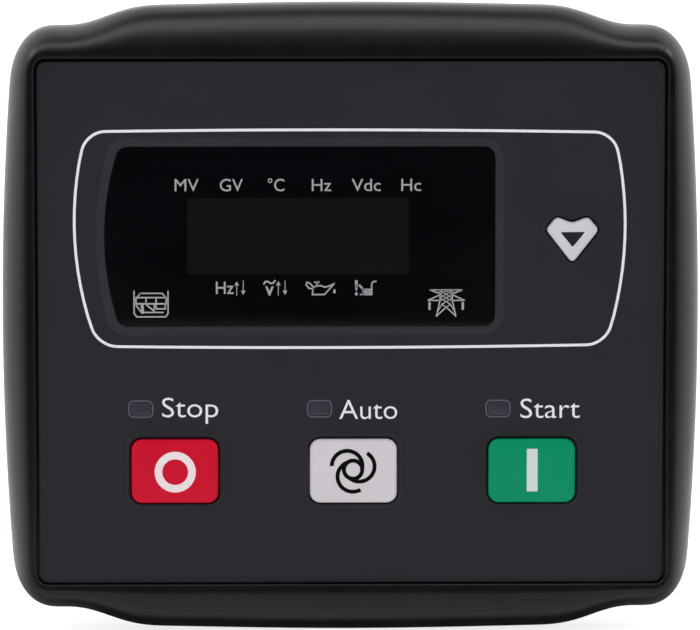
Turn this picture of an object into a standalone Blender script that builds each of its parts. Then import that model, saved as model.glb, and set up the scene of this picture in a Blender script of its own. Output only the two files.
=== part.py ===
"""Panel-mounted controller for a generating set.

The front faces -Y, +X is to the right and +Z is up. The origin is the centre of the panel cut-out,
on the face of the panel that the gasket presses on. All lengths are in metres.
"""

import math

import bmesh
import bpy
from mathutils import Vector

# Front outline
FACE_WIDTH = 0.0951
SIDE_BOW = 0.0018
SHOULDER_HEIGHT = 0.0798
WAVE_RISE = 0.00265
WAVE_CROWN = 0.0005
WAVE_MARGIN = 0.00945
WAVE_RUN = 0.0102
WAVE_FLAT = FACE_WIDTH - 2 * (WAVE_MARGIN + WAVE_RUN)
FACE_CORNER_REACH = 0.0057
FACE_CORNER_RISE = 0.0079

# Bezel across its depth
BEZEL_DEPTH = 0.0095
RECESS_DEPTH = 0.0016
LIP_DROP = 0.0005
PLATE_THICKNESS = 0.0020
# Rim section from the outer edge inwards: share of the rim's width, share of the bezel's depth
RIM_SHARES = (
    (0.00, 0.00),
    (0.00, 0.16),
    (0.05, 0.38),
    (0.15, 0.62),
    (0.32, 0.84),
    (0.48, 0.95),
    (0.68, 1.00),
    (0.86, 0.99),
)

# Clearances
SEAT_GAP = 0.0003
SLIDE_GAP = 0.0003
SCREW_GAP = 0.0003

# Gasket in its channel round the rear of the bezel
GASKET_WIDTH = 0.0034
GASKET_THICKNESS = 0.0015
GASKET_STAND = 0.0005
GASKET_INSET = 0.0014

# Overlay, inside the rim
RIM_WIDTH = 0.00505
RIM_HEIGHT = 0.0043
OVERLAY_WIDTH = FACE_WIDTH - 2 * RIM_WIDTH
OVERLAY_HEIGHT = SHOULDER_HEIGHT - 2 * RIM_HEIGHT
OVERLAY_RADIUS = 0.0012
OVERLAY_THICKNESS = 0.0004
OVERLAY_GROOVE = 0.0004

# Display window with a bowed left end
WINDOW_FROM_LEFT = 0.0111
WINDOW_FROM_RIGHT = 0.0230
WINDOW_WIDTH = OVERLAY_WIDTH - WINDOW_FROM_LEFT - WINDOW_FROM_RIGHT
WINDOW_FROM_TOP = 0.0117
WINDOW_FROM_BOTTOM = 0.0351
WINDOW_HEIGHT = OVERLAY_HEIGHT - WINDOW_FROM_TOP - WINDOW_FROM_BOTTOM
WINDOW_BOW = 0.0020
WINDOW_RADIUS = 0.0015
WINDOW_X = (WINDOW_FROM_LEFT - WINDOW_FROM_RIGHT) / 2
WINDOW_Z = (WINDOW_FROM_BOTTOM - WINDOW_FROM_TOP) / 2
WINDOW_THICKNESS = 0.0010
WINDOW_LEDGE = 0.0015
POCKET_DEPTH = 0.0006

# Display module and the wells for the signs above and below it
MODULE_FROM_LEFT = 0.00915
MODULE_FROM_RIGHT = 0.01165
MODULE_WIDTH = WINDOW_WIDTH - MODULE_FROM_LEFT - MODULE_FROM_RIGHT
MODULE_HEIGHT_SHARE = 0.4256
MODULE_HEIGHT = MODULE_HEIGHT_SHARE * WINDOW_HEIGHT
MODULE_X = WINDOW_X + (MODULE_FROM_LEFT - MODULE_FROM_RIGHT) / 2
MODULE_DROP = 0.0001
MODULE_Z = WINDOW_Z - MODULE_DROP
DIGIT_COUNT = 4
DIGIT_PITCH = MODULE_WIDTH / DIGIT_COUNT
DIGIT_WIDTH_SHARE = 0.53
DIGIT_WIDTH = DIGIT_WIDTH_SHARE * DIGIT_PITCH
DIGIT_HEIGHT_SHARE = 0.69
DIGIT_HEIGHT = DIGIT_HEIGHT_SHARE * MODULE_HEIGHT
DIGIT_SLANT_DEG = 8.0
SEGMENT_SHARE = 0.165
SEGMENT_WIDTH = SEGMENT_SHARE * math.sqrt(DIGIT_WIDTH * DIGIT_HEIGHT)
SEGMENT_RISE = 0.0002
UPPER_SIGN_COUNT = 6
UPPER_SIGN_FROM_LEFT = 0.0090
UPPER_SIGN_FROM_RIGHT = 0.0114
SIGN_PITCH = (WINDOW_WIDTH - UPPER_SIGN_FROM_LEFT - UPPER_SIGN_FROM_RIGHT) / (UPPER_SIGN_COUNT - 1)
UPPER_SIGN_X = WINDOW_X - WINDOW_WIDTH / 2 + UPPER_SIGN_FROM_LEFT
UPPER_SIGN_SHARE = 0.285
UPPER_SIGN_Z = WINDOW_Z + UPPER_SIGN_SHARE * WINDOW_HEIGHT
LOWER_SIGN_COUNT = 4
LOWER_SIGN_SHARE = 0.289
LOWER_SIGN_Z = WINDOW_Z - LOWER_SIGN_SHARE * WINDOW_HEIGHT
SUPPLY_SIGN_FROM_LEFT = 0.0044
SUPPLY_SIGN_FROM_RIGHT = 0.0066
SUPPLY_SIGN_SHARE = 0.372
SUPPLY_SIGN_Z = WINDOW_Z - SUPPLY_SIGN_SHARE * WINDOW_HEIGHT
WELL_GAP = 0.0025
WELL_WIDTH = SIGN_PITCH - WELL_GAP
WELL_HEIGHT_SHARE = 0.066
WELL_HEIGHT = WELL_HEIGHT_SHARE * WINDOW_HEIGHT

# Main keys
KEY_NAMES = ("stop", "auto", "start")
KEY_WIDTH = 0.0118
KEY_HEIGHT = 0.0087
KEY_RADIUS = 0.0014
KEY_FROM_SIDE = 0.0182
KEY_PITCH = (OVERLAY_WIDTH - 2 * KEY_FROM_SIDE) / (len(KEY_NAMES) - 1)
KEY_ROW_X = 0.0003
KEY_FROM_BOTTOM = 0.01525
KEY_ROW_Z = KEY_FROM_BOTTOM - OVERLAY_HEIGHT / 2
KEY_STAND = 0.0008
KEY_EDGE = 0.0004
KEY_MARGIN = 0.0006
KEY_FLANGE_REACH = 0.0008
KEY_FLANGE_THICKNESS = 0.0008
KEY_TRAVEL = 0.0006

# Heart-shaped scroll key
SCROLL_FROM_RIGHT = 0.0125
SCROLL_X = OVERLAY_WIDTH / 2 - SCROLL_FROM_RIGHT
SCROLL_DROP = 0.00065
SCROLL_Z = WINDOW_Z - SCROLL_DROP
SCROLL_WIDTH = 0.00765
SCROLL_HEIGHT = 0.0063
SCROLL_LOBES = 0.0043
SCROLL_NOTCH = 0.0008
SCROLL_CHEEK = 0.0017
SCROLL_RADIUS = 0.0006

# Light guides, each up and to the left of its key
GUIDE_WIDTH = 0.0029
GUIDE_HEIGHT = 0.0019
GUIDE_RADIUS = 0.0005
GUIDE_GAP = 0.0002
GUIDE_FROM_KEY_X = -0.0046
GUIDE_FROM_KEY_Z = 0.0085
GUIDE_FLANGE_REACH = 0.0006
GUIDE_FLANGE_THICKNESS = 0.0006
LED_WIDTH = 0.0020
LED_HEIGHT = 0.0013
LED_DEPTH = 0.0011

# Tact switches
SWITCH_SIZE = 0.0060
SWITCH_DEPTH = 0.0035
PLUNGER_RADIUS = 0.00175
PLUNGER_PROUD = 0.0007
PLUNGER_LENGTH = 0.0016

# Boards
BOARD_THICKNESS = 0.0016
BOARD_GAP = 0.0005
POWER_BOARD_FROM_REAR = 0.0090

# Rear housing
HOUSING_FROM_SIDE = 0.00905
HOUSING_FROM_TOP = 0.0064
HOUSING_WIDTH = FACE_WIDTH - 2 * HOUSING_FROM_SIDE
HOUSING_HEIGHT = SHOULDER_HEIGHT - 2 * HOUSING_FROM_TOP
HOUSING_DEPTH = 0.0400
HOUSING_WALL = 0.0020
HOUSING_RADIUS = 0.0030
HOUSING_INNER_RADIUS = 0.0010
POST_SIZE = 0.0063
POST_FRONT = -0.0030
VENT_COUNT = 9
VENT_FROM_SIDE = 0.0145
VENT_PITCH = (HOUSING_WIDTH - 2 * VENT_FROM_SIDE) / (VENT_COUNT - 1)
VENT_WIDTH = 0.0020
VENT_START = 0.0110
VENT_FROM_REAR = 0.0140
VENT_LENGTH = HOUSING_DEPTH - VENT_START - VENT_FROM_REAR

# Screws
SCREW_RADIUS = 0.0015
SCREW_HEAD_RADIUS = 0.0027
SCREW_HEAD_HEIGHT = 0.0018
COUNTERBORE_DEPTH = 0.0035
HOUSING_SCREW_REACH = 0.0035
BOSS_WALL = 0.0010
BOARD_SCREW_RADIUS = 0.0011
BOARD_SCREW_HEAD_RADIUS = 0.0020
BOARD_SCREW_HEAD_HEIGHT = 0.0013
BOARD_SCREW_REACH = 0.0030
BOARD_SCREW_X = 0.0120
BOARD_SCREW_FROM_TOP = 0.0052
BOARD_SCREW_Z = HOUSING_HEIGHT / 2 - BOARD_SCREW_FROM_TOP
PILLAR_FROM_SIDE = 0.0070
PILLAR_X = HOUSING_WIDTH / 2 - PILLAR_FROM_SIDE
PILLAR_FROM_TOP = 0.0155
PILLAR_FROM_BOTTOM = 0.0295
PILLAR_Z = (PILLAR_FROM_BOTTOM - HOUSING_HEIGHT / 2, HOUSING_HEIGHT / 2 - PILLAR_FROM_TOP)

# Terminals: number of ways and pitch, then the section that they share
DC_FROM_SIDE = 0.0060
DC_PITCH = 0.00508
DC_WAYS = math.floor((HOUSING_WIDTH - 2 * DC_FROM_SIDE) / DC_PITCH)
DC_FROM_BOTTOM = 0.0175
DC_Z = DC_FROM_BOTTOM - HOUSING_HEIGHT / 2
AC_WAYS = 5
AC_PITCH = 0.00762
AC_FROM_TOP = 0.0185
AC_Z = HOUSING_HEIGHT / 2 - AC_FROM_TOP
HEADER_HEIGHT = 0.0086
HEADER_WALL = 0.0008
HEADER_END = 0.0012
HEADER_FLOOR = 0.0016
HEADER_STAND = 0.0012
PIN_WIDTH = 0.0010
PIN_LENGTH = 0.0050
SOCKET_WIDTH = 0.0016
PLUG_OUTSIDE = 0.0095
PLUG_RISE = 0.0035
PLUG_ENTRY = 0.0028
PLUG_ENTRY_DEPTH = 0.0050
PLUG_SCREW_RADIUS = 0.0015
PLUG_SCREW_DEPTH = 0.0012

# Parts on the power board
RELAY_COUNT = 3
RELAY_FROM_PILLAR = 0.0135
RELAY_PITCH = 2 * (PILLAR_X - RELAY_FROM_PILLAR) / (RELAY_COUNT - 1)
RELAY_GAP = 0.0025
RELAY_WIDTH = RELAY_PITCH - RELAY_GAP
RELAY_HEIGHT = 0.0190
RELAY_DEPTH = 0.0158
RELAY_FROM_BOTTOM = 0.0195
RELAY_Z = RELAY_FROM_BOTTOM - HOUSING_HEIGHT / 2
TRANSFORMER_SIZE = 0.0170
TRANSFORMER_DEPTH = 0.0135
TRANSFORMER_FROM_PILLAR = 0.0145
TRANSFORMER_X = TRANSFORMER_FROM_PILLAR - PILLAR_X
TRANSFORMER_Z = 0.0120
CAPACITOR_RADIUS = 0.0050
CAPACITOR_DEPTH = 0.0200
CAPACITOR_FROM_TRANSFORMER = 0.0200
CAPACITOR_X = TRANSFORMER_X + CAPACITOR_FROM_TRANSFORMER
CAPACITOR_Z = 0.0130
LINK_X = 0.0200
LINK_Z = 0.0120
LINK_PINS = 8
LINK_PITCH = 0.00254
LINK_PIN_WIDTH = 0.00064
LINK_BODY = 0.0025
CHIP_SIZE = 0.0140
CHIP_DEPTH = 0.0014
CHIP_X = -0.0080
CHIP_Z = 0.0050

# Mounting clips at the sides, each with a clamp screw that presses on the back of the panel
CLIP_HEIGHT = 0.0140
CLIP_THICKNESS = 0.0020
CLIP_START = 0.0130
CLIP_FROM_REAR = 0.0050
CLIP_LENGTH = HOUSING_DEPTH - CLIP_START - CLIP_FROM_REAR
CLIP_HOOK_HEIGHT = 0.0070
CLIP_HOOK_LENGTH = 0.0030
CLIP_HOOK_CATCH = 0.0015
CLIP_BLOCK_LENGTH = 0.0060
CLIP_HOOK_MARGIN = 0.0020
CLIP_HOOK_SPACING = CLIP_LENGTH - CLIP_BLOCK_LENGTH - 2 * CLIP_HOOK_MARGIN
CLIP_BLOCK_HEIGHT = 0.0080
CLAMP_OFFSET = 0.0047
CLAMP_RADIUS = 0.0019
CLAMP_HEAD_RADIUS = 0.0030
CLAMP_HEAD_HEIGHT = 0.0026
CLAMP_TIP = 0.0060
CLAMP_BLOCK_WALL = 0.0014
CLAMP_BACK = 0.0030

# Planes across the depth
BEZEL_REAR = -GASKET_STAND
CREST = BEZEL_REAR - BEZEL_DEPTH
RECESS_FLOOR = CREST + RECESS_DEPTH
PLATE_REAR = RECESS_FLOOR + PLATE_THICKNESS
OVERLAY_REAR = RECESS_FLOOR - SEAT_GAP
OVERLAY_FRONT = OVERLAY_REAR - OVERLAY_THICKNESS
WINDOW_REAR = OVERLAY_FRONT + WINDOW_THICKNESS
POCKET_FLOOR = RECESS_FLOOR + POCKET_DEPTH
KEY_FRONT = OVERLAY_FRONT - KEY_STAND
KEY_FLANGE_FRONT = PLATE_REAR + SEAT_GAP
KEY_REAR = KEY_FLANGE_FRONT + KEY_FLANGE_THICKNESS
PLUNGER_FRONT = KEY_REAR + SEAT_GAP
SWITCH_FRONT = PLUNGER_FRONT + PLUNGER_PROUD
SWITCH_REAR = SWITCH_FRONT + SWITCH_DEPTH
BOARD_FRONT = SWITCH_REAR + SEAT_GAP
BOARD_REAR = BOARD_FRONT + BOARD_THICKNESS
POWER_BOARD_FRONT = HOUSING_DEPTH - POWER_BOARD_FROM_REAR
POWER_BOARD_REAR = POWER_BOARD_FRONT + BOARD_THICKNESS
HOUSING_FRONT = PLATE_REAR + SEAT_GAP
HOUSING_FLOOR = HOUSING_DEPTH - HOUSING_WALL
CHANNEL_FLOOR = BEZEL_REAR - (GASKET_THICKNESS - GASKET_STAND) - SEAT_GAP
HEADER_FRONT = POWER_BOARD_REAR + SEAT_GAP
HEADER_REAR = HOUSING_DEPTH + HEADER_STAND

# Places across the face
CAVITY_WIDTH = HOUSING_WIDTH + 2 * SEAT_GAP
CAVITY_HEIGHT = HOUSING_HEIGHT + 2 * SEAT_GAP
INNER_WIDTH = HOUSING_WIDTH - 2 * HOUSING_WALL
INNER_HEIGHT = HOUSING_HEIGHT - 2 * HOUSING_WALL
HOUSING_SCREW_X = (INNER_WIDTH - POST_SIZE) / 2
HOUSING_SCREW_Z = (INNER_HEIGHT - POST_SIZE) / 2
BORE_RADIUS = SCREW_RADIUS + SCREW_GAP
BOARD_BORE_RADIUS = BOARD_SCREW_RADIUS + SCREW_GAP
CORNERS = tuple((x, z) for x in (-1, 1) for z in (-1, 1))

# Fineness of round shapes
ARC_STEPS = 3
SMALL_ARC_STEPS = 2
FACE_ARC_STEPS = 5
WAVE_STEPS = 5
FLAT_STEPS = 2
SIDE_STEPS = 4
HOLE_SIDES = 8
RADIAL_SIDES = 12


# Materials

def material(name, colour, roughness, metallic=0.0):
    """The named Principled material, made the first time that it is asked for."""
    found = bpy.data.materials.get(name)
    if found:
        return found
    made = bpy.data.materials.new(name)
    made.use_nodes = True
    shader = made.node_tree.nodes["Principled BSDF"]
    shader.inputs["Base Color"].default_value = (*colour, 1.0)
    shader.inputs["Roughness"].default_value = roughness
    shader.inputs["Metallic"].default_value = metallic
    made.diffuse_color = (*colour, 1.0)
    return made


def black_moulding():
    return material("black_moulding", (0.016, 0.016, 0.018), 0.32)


def charcoal_film():
    return material("charcoal_film", (0.025, 0.024, 0.029), 0.55)


def smoked_lens():
    return material("smoked_lens", (0.003, 0.003, 0.004), 0.06)


def black_rubber():
    return material("black_rubber", (0.020, 0.020, 0.020), 0.85)


def housing_plastic():
    return material("housing_plastic", (0.022, 0.022, 0.024), 0.50)


def guide_plastic():
    return material("guide_plastic", (0.060, 0.062, 0.075), 0.25)


def board_laminate():
    return material("board_laminate", (0.010, 0.110, 0.045), 0.45)


def terminal_plastic():
    return material("terminal_plastic", (0.020, 0.260, 0.090), 0.45)


def relay_plastic():
    return material("relay_plastic", (0.012, 0.035, 0.120), 0.40)


def zinc_steel():
    return material("zinc_steel", (0.560, 0.560, 0.540), 0.35, 1.0)


# Outlines, as lists of points across the face

def rectangle(width, height, x=0.0, z=0.0):
    half_width, half_height = width / 2, height / 2
    return [
        (x - half_width, z - half_height),
        (x + half_width, z - half_height),
        (x + half_width, z + half_height),
        (x - half_width, z + half_height),
    ]


def circle(radius, x=0.0, z=0.0, sides=HOLE_SIDES):
    turns = [2 * math.pi * (step + 0.5) / sides for step in range(sides)]
    return [(x + radius * math.cos(turn), z + radius * math.sin(turn)) for turn in turns]


def rounded(corners, radii, steps=ARC_STEPS):
    """A closed outline through the corners, each turned into an arc. A radius of 0 keeps the corner."""
    points = []
    for i, corner in enumerate(corners):
        here = Vector(corner)
        back = (Vector(corners[i - 1]) - here).normalized()
        ahead = (Vector(corners[(i + 1) % len(corners)]) - here).normalized()
        if radii[i] <= 0:
            points.append(tuple(here))
            continue
        half_angle = back.angle(ahead) / 2
        start = here + back * radii[i] / math.tan(half_angle)
        centre = here + (back + ahead).normalized() * radii[i] / math.sin(half_angle)
        spoke = start - centre
        sweep = math.pi - 2 * half_angle
        turn = sweep if back.cross(ahead) < 0 else -sweep
        for step in range(steps + 1):
            angle = turn * step / steps
            cosine, sine = math.cos(angle), math.sin(angle)
            points.append(
                (
                    centre.x + spoke.x * cosine - spoke.y * sine,
                    centre.y + spoke.x * sine + spoke.y * cosine,
                )
            )
    return points


def rounded_rectangle(width, height, radius, x=0.0, z=0.0, steps=ARC_STEPS):
    return rounded(rectangle(width, height, x, z), [radius] * 4, steps)


def grown(corners, distance):
    """The corners of the same outline with each side moved outwards. The corners run anticlockwise."""
    moved = []
    for i, corner in enumerate(corners):
        here = Vector(corner)
        before = (here - Vector(corners[i - 1])).normalized()
        after = (Vector(corners[(i + 1) % len(corners)]) - here).normalized()
        normal_before = Vector((before.y, -before.x))
        normal_after = Vector((after.y, -after.x))
        along = (normal_before + normal_after).normalized()
        moved.append(tuple(here + along * distance / along.dot(normal_before)))
    return moved


def key_outline(growth=0.0):
    """A main key about its own centre."""
    return rounded_rectangle(
        KEY_WIDTH + 2 * growth, KEY_HEIGHT + 2 * growth, KEY_RADIUS + growth
    )


def scroll_outline(growth=0.0):
    """The heart-shaped key about its own centre: two lobes, a notch between them and a tip below."""
    top = SCROLL_HEIGHT / 2
    corners = [
        (0.0, -top),
        (SCROLL_WIDTH / 2, top - SCROLL_CHEEK),
        (SCROLL_LOBES / 2, top),
        (0.0, top - SCROLL_NOTCH),
        (-SCROLL_LOBES / 2, top),
        (-SCROLL_WIDTH / 2, top - SCROLL_CHEEK),
    ]
    outward = SCROLL_RADIUS + growth
    notch_radius = max(2 * SCROLL_RADIUS - growth, SCROLL_RADIUS / 4)
    radii = [outward, outward, outward, notch_radius, outward, outward]
    return rounded(grown(corners, growth), radii)


def guide_outline(growth=0.0):
    """A light guide about its own centre."""
    return rounded_rectangle(
        GUIDE_WIDTH + 2 * growth,
        GUIDE_HEIGHT + 2 * growth,
        GUIDE_RADIUS + growth,
        steps=SMALL_ARC_STEPS,
    )


def moved(outline, x, z):
    return [(x + u, z + v) for u, v in outline]


def window_outline(growth=0.0):
    """The window across the face. Its left end is a shallow arc."""
    left = WINDOW_X - WINDOW_WIDTH / 2 - growth
    right = WINDOW_X + WINDOW_WIDTH / 2 + growth
    half_height = WINDOW_HEIGHT / 2 + growth
    bow = [
        (left - WINDOW_BOW * (1 - share**2), WINDOW_Z + share * half_height)
        for share in (0.75, 0.4, 0.0, -0.4, -0.75)
    ]
    corners = [
        (left, WINDOW_Z - half_height),
        (right, WINDOW_Z - half_height),
        (right, WINDOW_Z + half_height),
        (left, WINDOW_Z + half_height),
    ]
    radius = WINDOW_RADIUS + growth
    return rounded(corners + bow, [radius] * 4 + [0.0] * len(bow))


def key_places():
    """Name, x, z and outline of each key."""
    first = KEY_ROW_X - KEY_PITCH * (len(KEY_NAMES) - 1) / 2
    places = [
        (name, first + KEY_PITCH * i, KEY_ROW_Z, key_outline)
        for i, name in enumerate(KEY_NAMES)
    ]
    return places + [("scroll", SCROLL_X, SCROLL_Z, scroll_outline)]


def guide_places():
    """Name, x and z of each light guide."""
    return [
        (name, x + GUIDE_FROM_KEY_X, z + GUIDE_FROM_KEY_Z)
        for name, x, z, _ in key_places()
        if name in KEY_NAMES
    ]


# Solids

def at(u, v, w, axis):
    """A point from its place across the outline and its place along the axis."""
    return {"X": (w, u, v), "Y": (u, w, v), "Z": (u, v, w)}[axis]


def loft(bm, rings):
    """One closed skin through rings that have the same number of points."""
    loops = [[bm.verts.new(point) for point in ring] for ring in rings]
    for near, far in zip(loops, loops[1:]):
        for i, corner in enumerate(near):
            j = (i + 1) % len(near)
            bm.faces.new((corner, near[j], far[j], far[i]))
    bm.faces.new(loops[0])
    bm.faces.new(loops[-1])


def prism(bm, outline, start, end, axis="Y"):
    """The outline pulled straight from start to end along the axis."""
    face = bm.faces.new([bm.verts.new(at(u, v, start, axis)) for u, v in outline])
    pulled = bmesh.ops.extrude_face_region(bm, geom=[face])["geom"]
    corners = [item for item in pulled if isinstance(item, bmesh.types.BMVert)]
    bmesh.ops.translate(bm, verts=corners, vec=at(0, 0, end - start, axis))


def turned(bm, section, x=0.0, z=0.0, sides=RADIAL_SIDES):
    """A turned solid along Y, from its section as pairs of radius and y."""
    loft(bm, [[(u, y, v) for u, v in circle(radius, x, z, sides)] for radius, y in section])


def new_object(name, shapes, made_of, place=(0.0, 0.0, 0.0), parent=None):
    """An object from a function that adds closed shapes to a bmesh."""
    bm = bmesh.new()
    shapes(bm)
    bmesh.ops.recalc_face_normals(bm, faces=bm.faces)
    mesh = bpy.data.meshes.new(name)
    bm.to_mesh(mesh)
    bm.free()
    if made_of:
        mesh.materials.append(made_of)
    mesh.shade_smooth()
    mesh.set_sharp_from_angle(angle=math.radians(35))
    obj = bpy.data.objects.new(name, mesh)
    obj.location = place
    obj.parent = parent
    bpy.context.scene.collection.objects.link(obj)
    return obj


def combine(obj, operation, shapes):
    """A Boolean with a hidden helper that holds the shapes."""
    helper = new_object(f"{obj.name}_{operation.lower()}_{len(obj.modifiers)}", shapes, None)
    helper.parent = obj
    helper.hide_render = True
    helper.display_type = "WIRE"
    modifier = obj.modifiers.new(operation.title(), "BOOLEAN")
    modifier.operation = operation
    modifier.object = helper
    modifier.use_self = operation == "UNION"


def cut(obj, shapes):
    combine(obj, "DIFFERENCE", shapes)


def join(obj, shapes):
    combine(obj, "UNION", shapes)


def soften(obj, width, segments=1):
    """A small bevel on the sharp edges."""
    bevel = obj.modifiers.new("Edges", "BEVEL")
    bevel.width = width
    bevel.segments = segments
    bevel.limit_method = "ANGLE"
    bevel.angle_limit = math.radians(50)


# Front bezel

def wave(x):
    """How far the top edge stands above its shoulder at x: full across the middle, then an S curve."""
    distance = abs(x)
    flat = WAVE_FLAT / 2
    if distance <= flat:
        return WAVE_RISE + WAVE_CROWN * (1 - (distance / flat) ** 2)
    if distance >= flat + WAVE_RUN:
        return 0.0
    return WAVE_RISE * (1 + math.cos(math.pi * (distance - flat) / WAVE_RUN)) / 2


def edge_shares(straight_half):
    """Where the points of the top edge lie, as shares of its half length, closer along the S curves."""
    flat = WAVE_FLAT / 2
    right = [flat * step / FLAT_STEPS for step in range(FLAT_STEPS)]
    right += [flat + WAVE_RUN * step / WAVE_STEPS for step in range(WAVE_STEPS + 1)]
    shares = [min(place / straight_half, 0.99) for place in right] + [1.0]
    return [-share for share in reversed(shares[1:])] + shares


def framed_ring(width, height, corner_reach, corner_rise, y, swell=0.0):
    """A rounded rectangle at y whose points match those of every other such ring. A corner is a quarter of
    an ellipse, with its reach across and its rise. The swell is the share that the ring has of the wave and
    of the bowed sides."""
    shares = edge_shares((FACE_WIDTH - 2 * SIDE_BOW) / 2 - FACE_CORNER_REACH)
    rises = [2 * step / SIDE_STEPS - 1 for step in range(SIDE_STEPS + 1)]
    across, up = width / 2 - corner_reach, height / 2 - corner_rise

    def corner(x, z, first_turn):
        quarter = math.pi / 2
        turns = [first_turn + quarter * i / FACE_ARC_STEPS for i in range(1, FACE_ARC_STEPS)]
        return [(x + corner_reach * math.cos(turn), z + corner_rise * math.sin(turn)) for turn in turns]

    plain = [(share * across, -height / 2) for share in shares]
    plain += corner(across, -up, -math.pi / 2)
    plain += [(width / 2, rise * up) for rise in rises]
    plain += corner(across, up, 0.0)
    plain += [(-share * across, height / 2) for share in shares]
    plain += corner(-across, up, math.pi / 2)
    plain += [(-width / 2, -rise * up) for rise in rises]
    plain += corner(-across, -up, math.pi)
    ring = []
    for x, z in plain:
        beside, above = 2 * x / width, 2 * z / height
        bow = swell * SIDE_BOW * (1 - above**2) * beside
        rise = swell * wave(x) * above
        ring.append((x + bow, y, z + rise))
    return ring


def rim_ring(inward, y):
    """A ring on the rim, from the swelling outer edge (0) to the straight edge of the recess (1)."""

    def between(outer, inner):
        return outer + (inner - outer) * inward

    return framed_ring(
        between(FACE_WIDTH - 2 * SIDE_BOW, OVERLAY_WIDTH + 2 * OVERLAY_GROOVE),
        between(SHOULDER_HEIGHT, OVERLAY_HEIGHT + 2 * OVERLAY_GROOVE),
        between(FACE_CORNER_REACH, OVERLAY_RADIUS + OVERLAY_GROOVE),
        between(FACE_CORNER_RISE, OVERLAY_RADIUS + OVERLAY_GROOVE),
        y,
        swell=1 - inward,
    )


def channel_ring(grow, y):
    """A ring round the cavity behind the bezel, grown outwards."""
    width, height = CAVITY_WIDTH + 2 * grow, CAVITY_HEIGHT + 2 * grow
    radius = HOUSING_RADIUS + SEAT_GAP + grow
    return framed_ring(width, height, radius, radius, y)


def bezel_skin(bm):
    """From the cavity floor out over the rear edge and its gasket channel, then over the rim."""
    inner, outer = GASKET_INSET, GASKET_INSET + GASKET_WIDTH + 2 * SEAT_GAP
    rear = [
        channel_ring(0.0, PLATE_REAR),
        channel_ring(0.0, BEZEL_REAR),
        channel_ring(inner, BEZEL_REAR),
        channel_ring(inner, CHANNEL_FLOOR),
        channel_ring(outer, CHANNEL_FLOOR),
        channel_ring(outer, BEZEL_REAR),
    ]
    rim = [rim_ring(inward, BEZEL_REAR - depth * BEZEL_DEPTH) for inward, depth in RIM_SHARES]
    recess = [rim_ring(1.0, CREST + LIP_DROP), rim_ring(1.0, RECESS_FLOOR)]
    loft(bm, rear + rim + recess)


def bezel_bosses(bm):
    """Four bosses for the housing screws and four for the front board, rooted in the plate."""
    root = PLATE_REAR - PLATE_THICKNESS / 4
    for side, up in CORNERS:
        boss = circle(BORE_RADIUS + BOSS_WALL, side * HOUSING_SCREW_X, up * HOUSING_SCREW_Z)
        prism(bm, boss, root, POST_FRONT - SEAT_GAP)
        boss = circle(BOARD_BORE_RADIUS + BOSS_WALL, side * BOARD_SCREW_X, up * BOARD_SCREW_Z)
        prism(bm, boss, root, BOARD_FRONT - SEAT_GAP)


def bezel_openings(bm):
    """Window pocket and opening, key and light guide openings, and the screw bores."""
    through = (RECESS_FLOOR - PLATE_THICKNESS, PLATE_REAR + PLATE_THICKNESS)
    prism(bm, window_outline(SEAT_GAP), through[0], POCKET_FLOOR)
    for _, x, z, outline in key_places():
        prism(bm, moved(outline(SLIDE_GAP), x, z), *through)
    for _, x, z in guide_places():
        prism(bm, moved(guide_outline(GUIDE_GAP), x, z), *through)
    for side, up in CORNERS:
        bore = circle(BORE_RADIUS, side * HOUSING_SCREW_X, up * HOUSING_SCREW_Z)
        prism(bm, bore, POST_FRONT - SEAT_GAP - HOUSING_SCREW_REACH - SCREW_GAP, POST_FRONT + SEAT_GAP)
        bore = circle(BOARD_BORE_RADIUS, side * BOARD_SCREW_X, up * BOARD_SCREW_Z)
        prism(bm, bore, BOARD_FRONT - BOARD_SCREW_REACH - SCREW_GAP, BOARD_FRONT + SEAT_GAP)


def window_through(bm):
    """The opening behind the window pocket, smaller by the ledge that the window seats on."""
    opening = rectangle(*baffle_size(SEAT_GAP), *baffle_centre())
    prism(bm, opening, RECESS_FLOOR - PLATE_THICKNESS, PLATE_REAR + PLATE_THICKNESS)


def front_bezel():
    bezel = new_object("front_bezel", bezel_skin, black_moulding())
    join(bezel, bezel_bosses)
    cut(bezel, bezel_openings)
    cut(bezel, window_through)


def gasket_skin(bm):
    """A square strip round the cavity, proud of the bezel's rear by the stand."""
    inner = GASKET_INSET + SEAT_GAP
    outer = inner + GASKET_WIDTH
    front = -GASKET_THICKNESS
    corners = ((inner, 0.0), (inner, front), (outer, front), (outer, 0.0))
    rings = [channel_ring(grow, y) for grow, y in corners]
    loops = [[bm.verts.new(point) for point in ring] for ring in rings]
    for near, far in zip(loops, loops[1:] + loops[:1]):
        for i, point in enumerate(near):
            j = (i + 1) % len(near)
            bm.faces.new((point, near[j], far[j], far[i]))


def panel_gasket():
    new_object("panel_gasket", gasket_skin, black_rubber())


# Overlay and window

def overlay_openings(bm):
    through = (OVERLAY_FRONT - OVERLAY_THICKNESS, OVERLAY_REAR + OVERLAY_THICKNESS)
    prism(bm, window_outline(SEAT_GAP), *through)
    for _, x, z, outline in key_places():
        prism(bm, moved(outline(KEY_MARGIN), x, z), *through)
    for _, x, z in guide_places():
        prism(bm, moved(guide_outline(GUIDE_GAP), x, z), *through)


def front_overlay():
    sheet = rounded_rectangle(OVERLAY_WIDTH, OVERLAY_HEIGHT, OVERLAY_RADIUS)
    overlay = new_object(
        "front_overlay", lambda bm: prism(bm, sheet, OVERLAY_FRONT, OVERLAY_REAR), charcoal_film()
    )
    cut(overlay, overlay_openings)


def display_window():
    new_object(
        "display_window", lambda bm: prism(bm, window_outline(), OVERLAY_FRONT, WINDOW_REAR), smoked_lens()
    )


# Display behind the window

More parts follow.
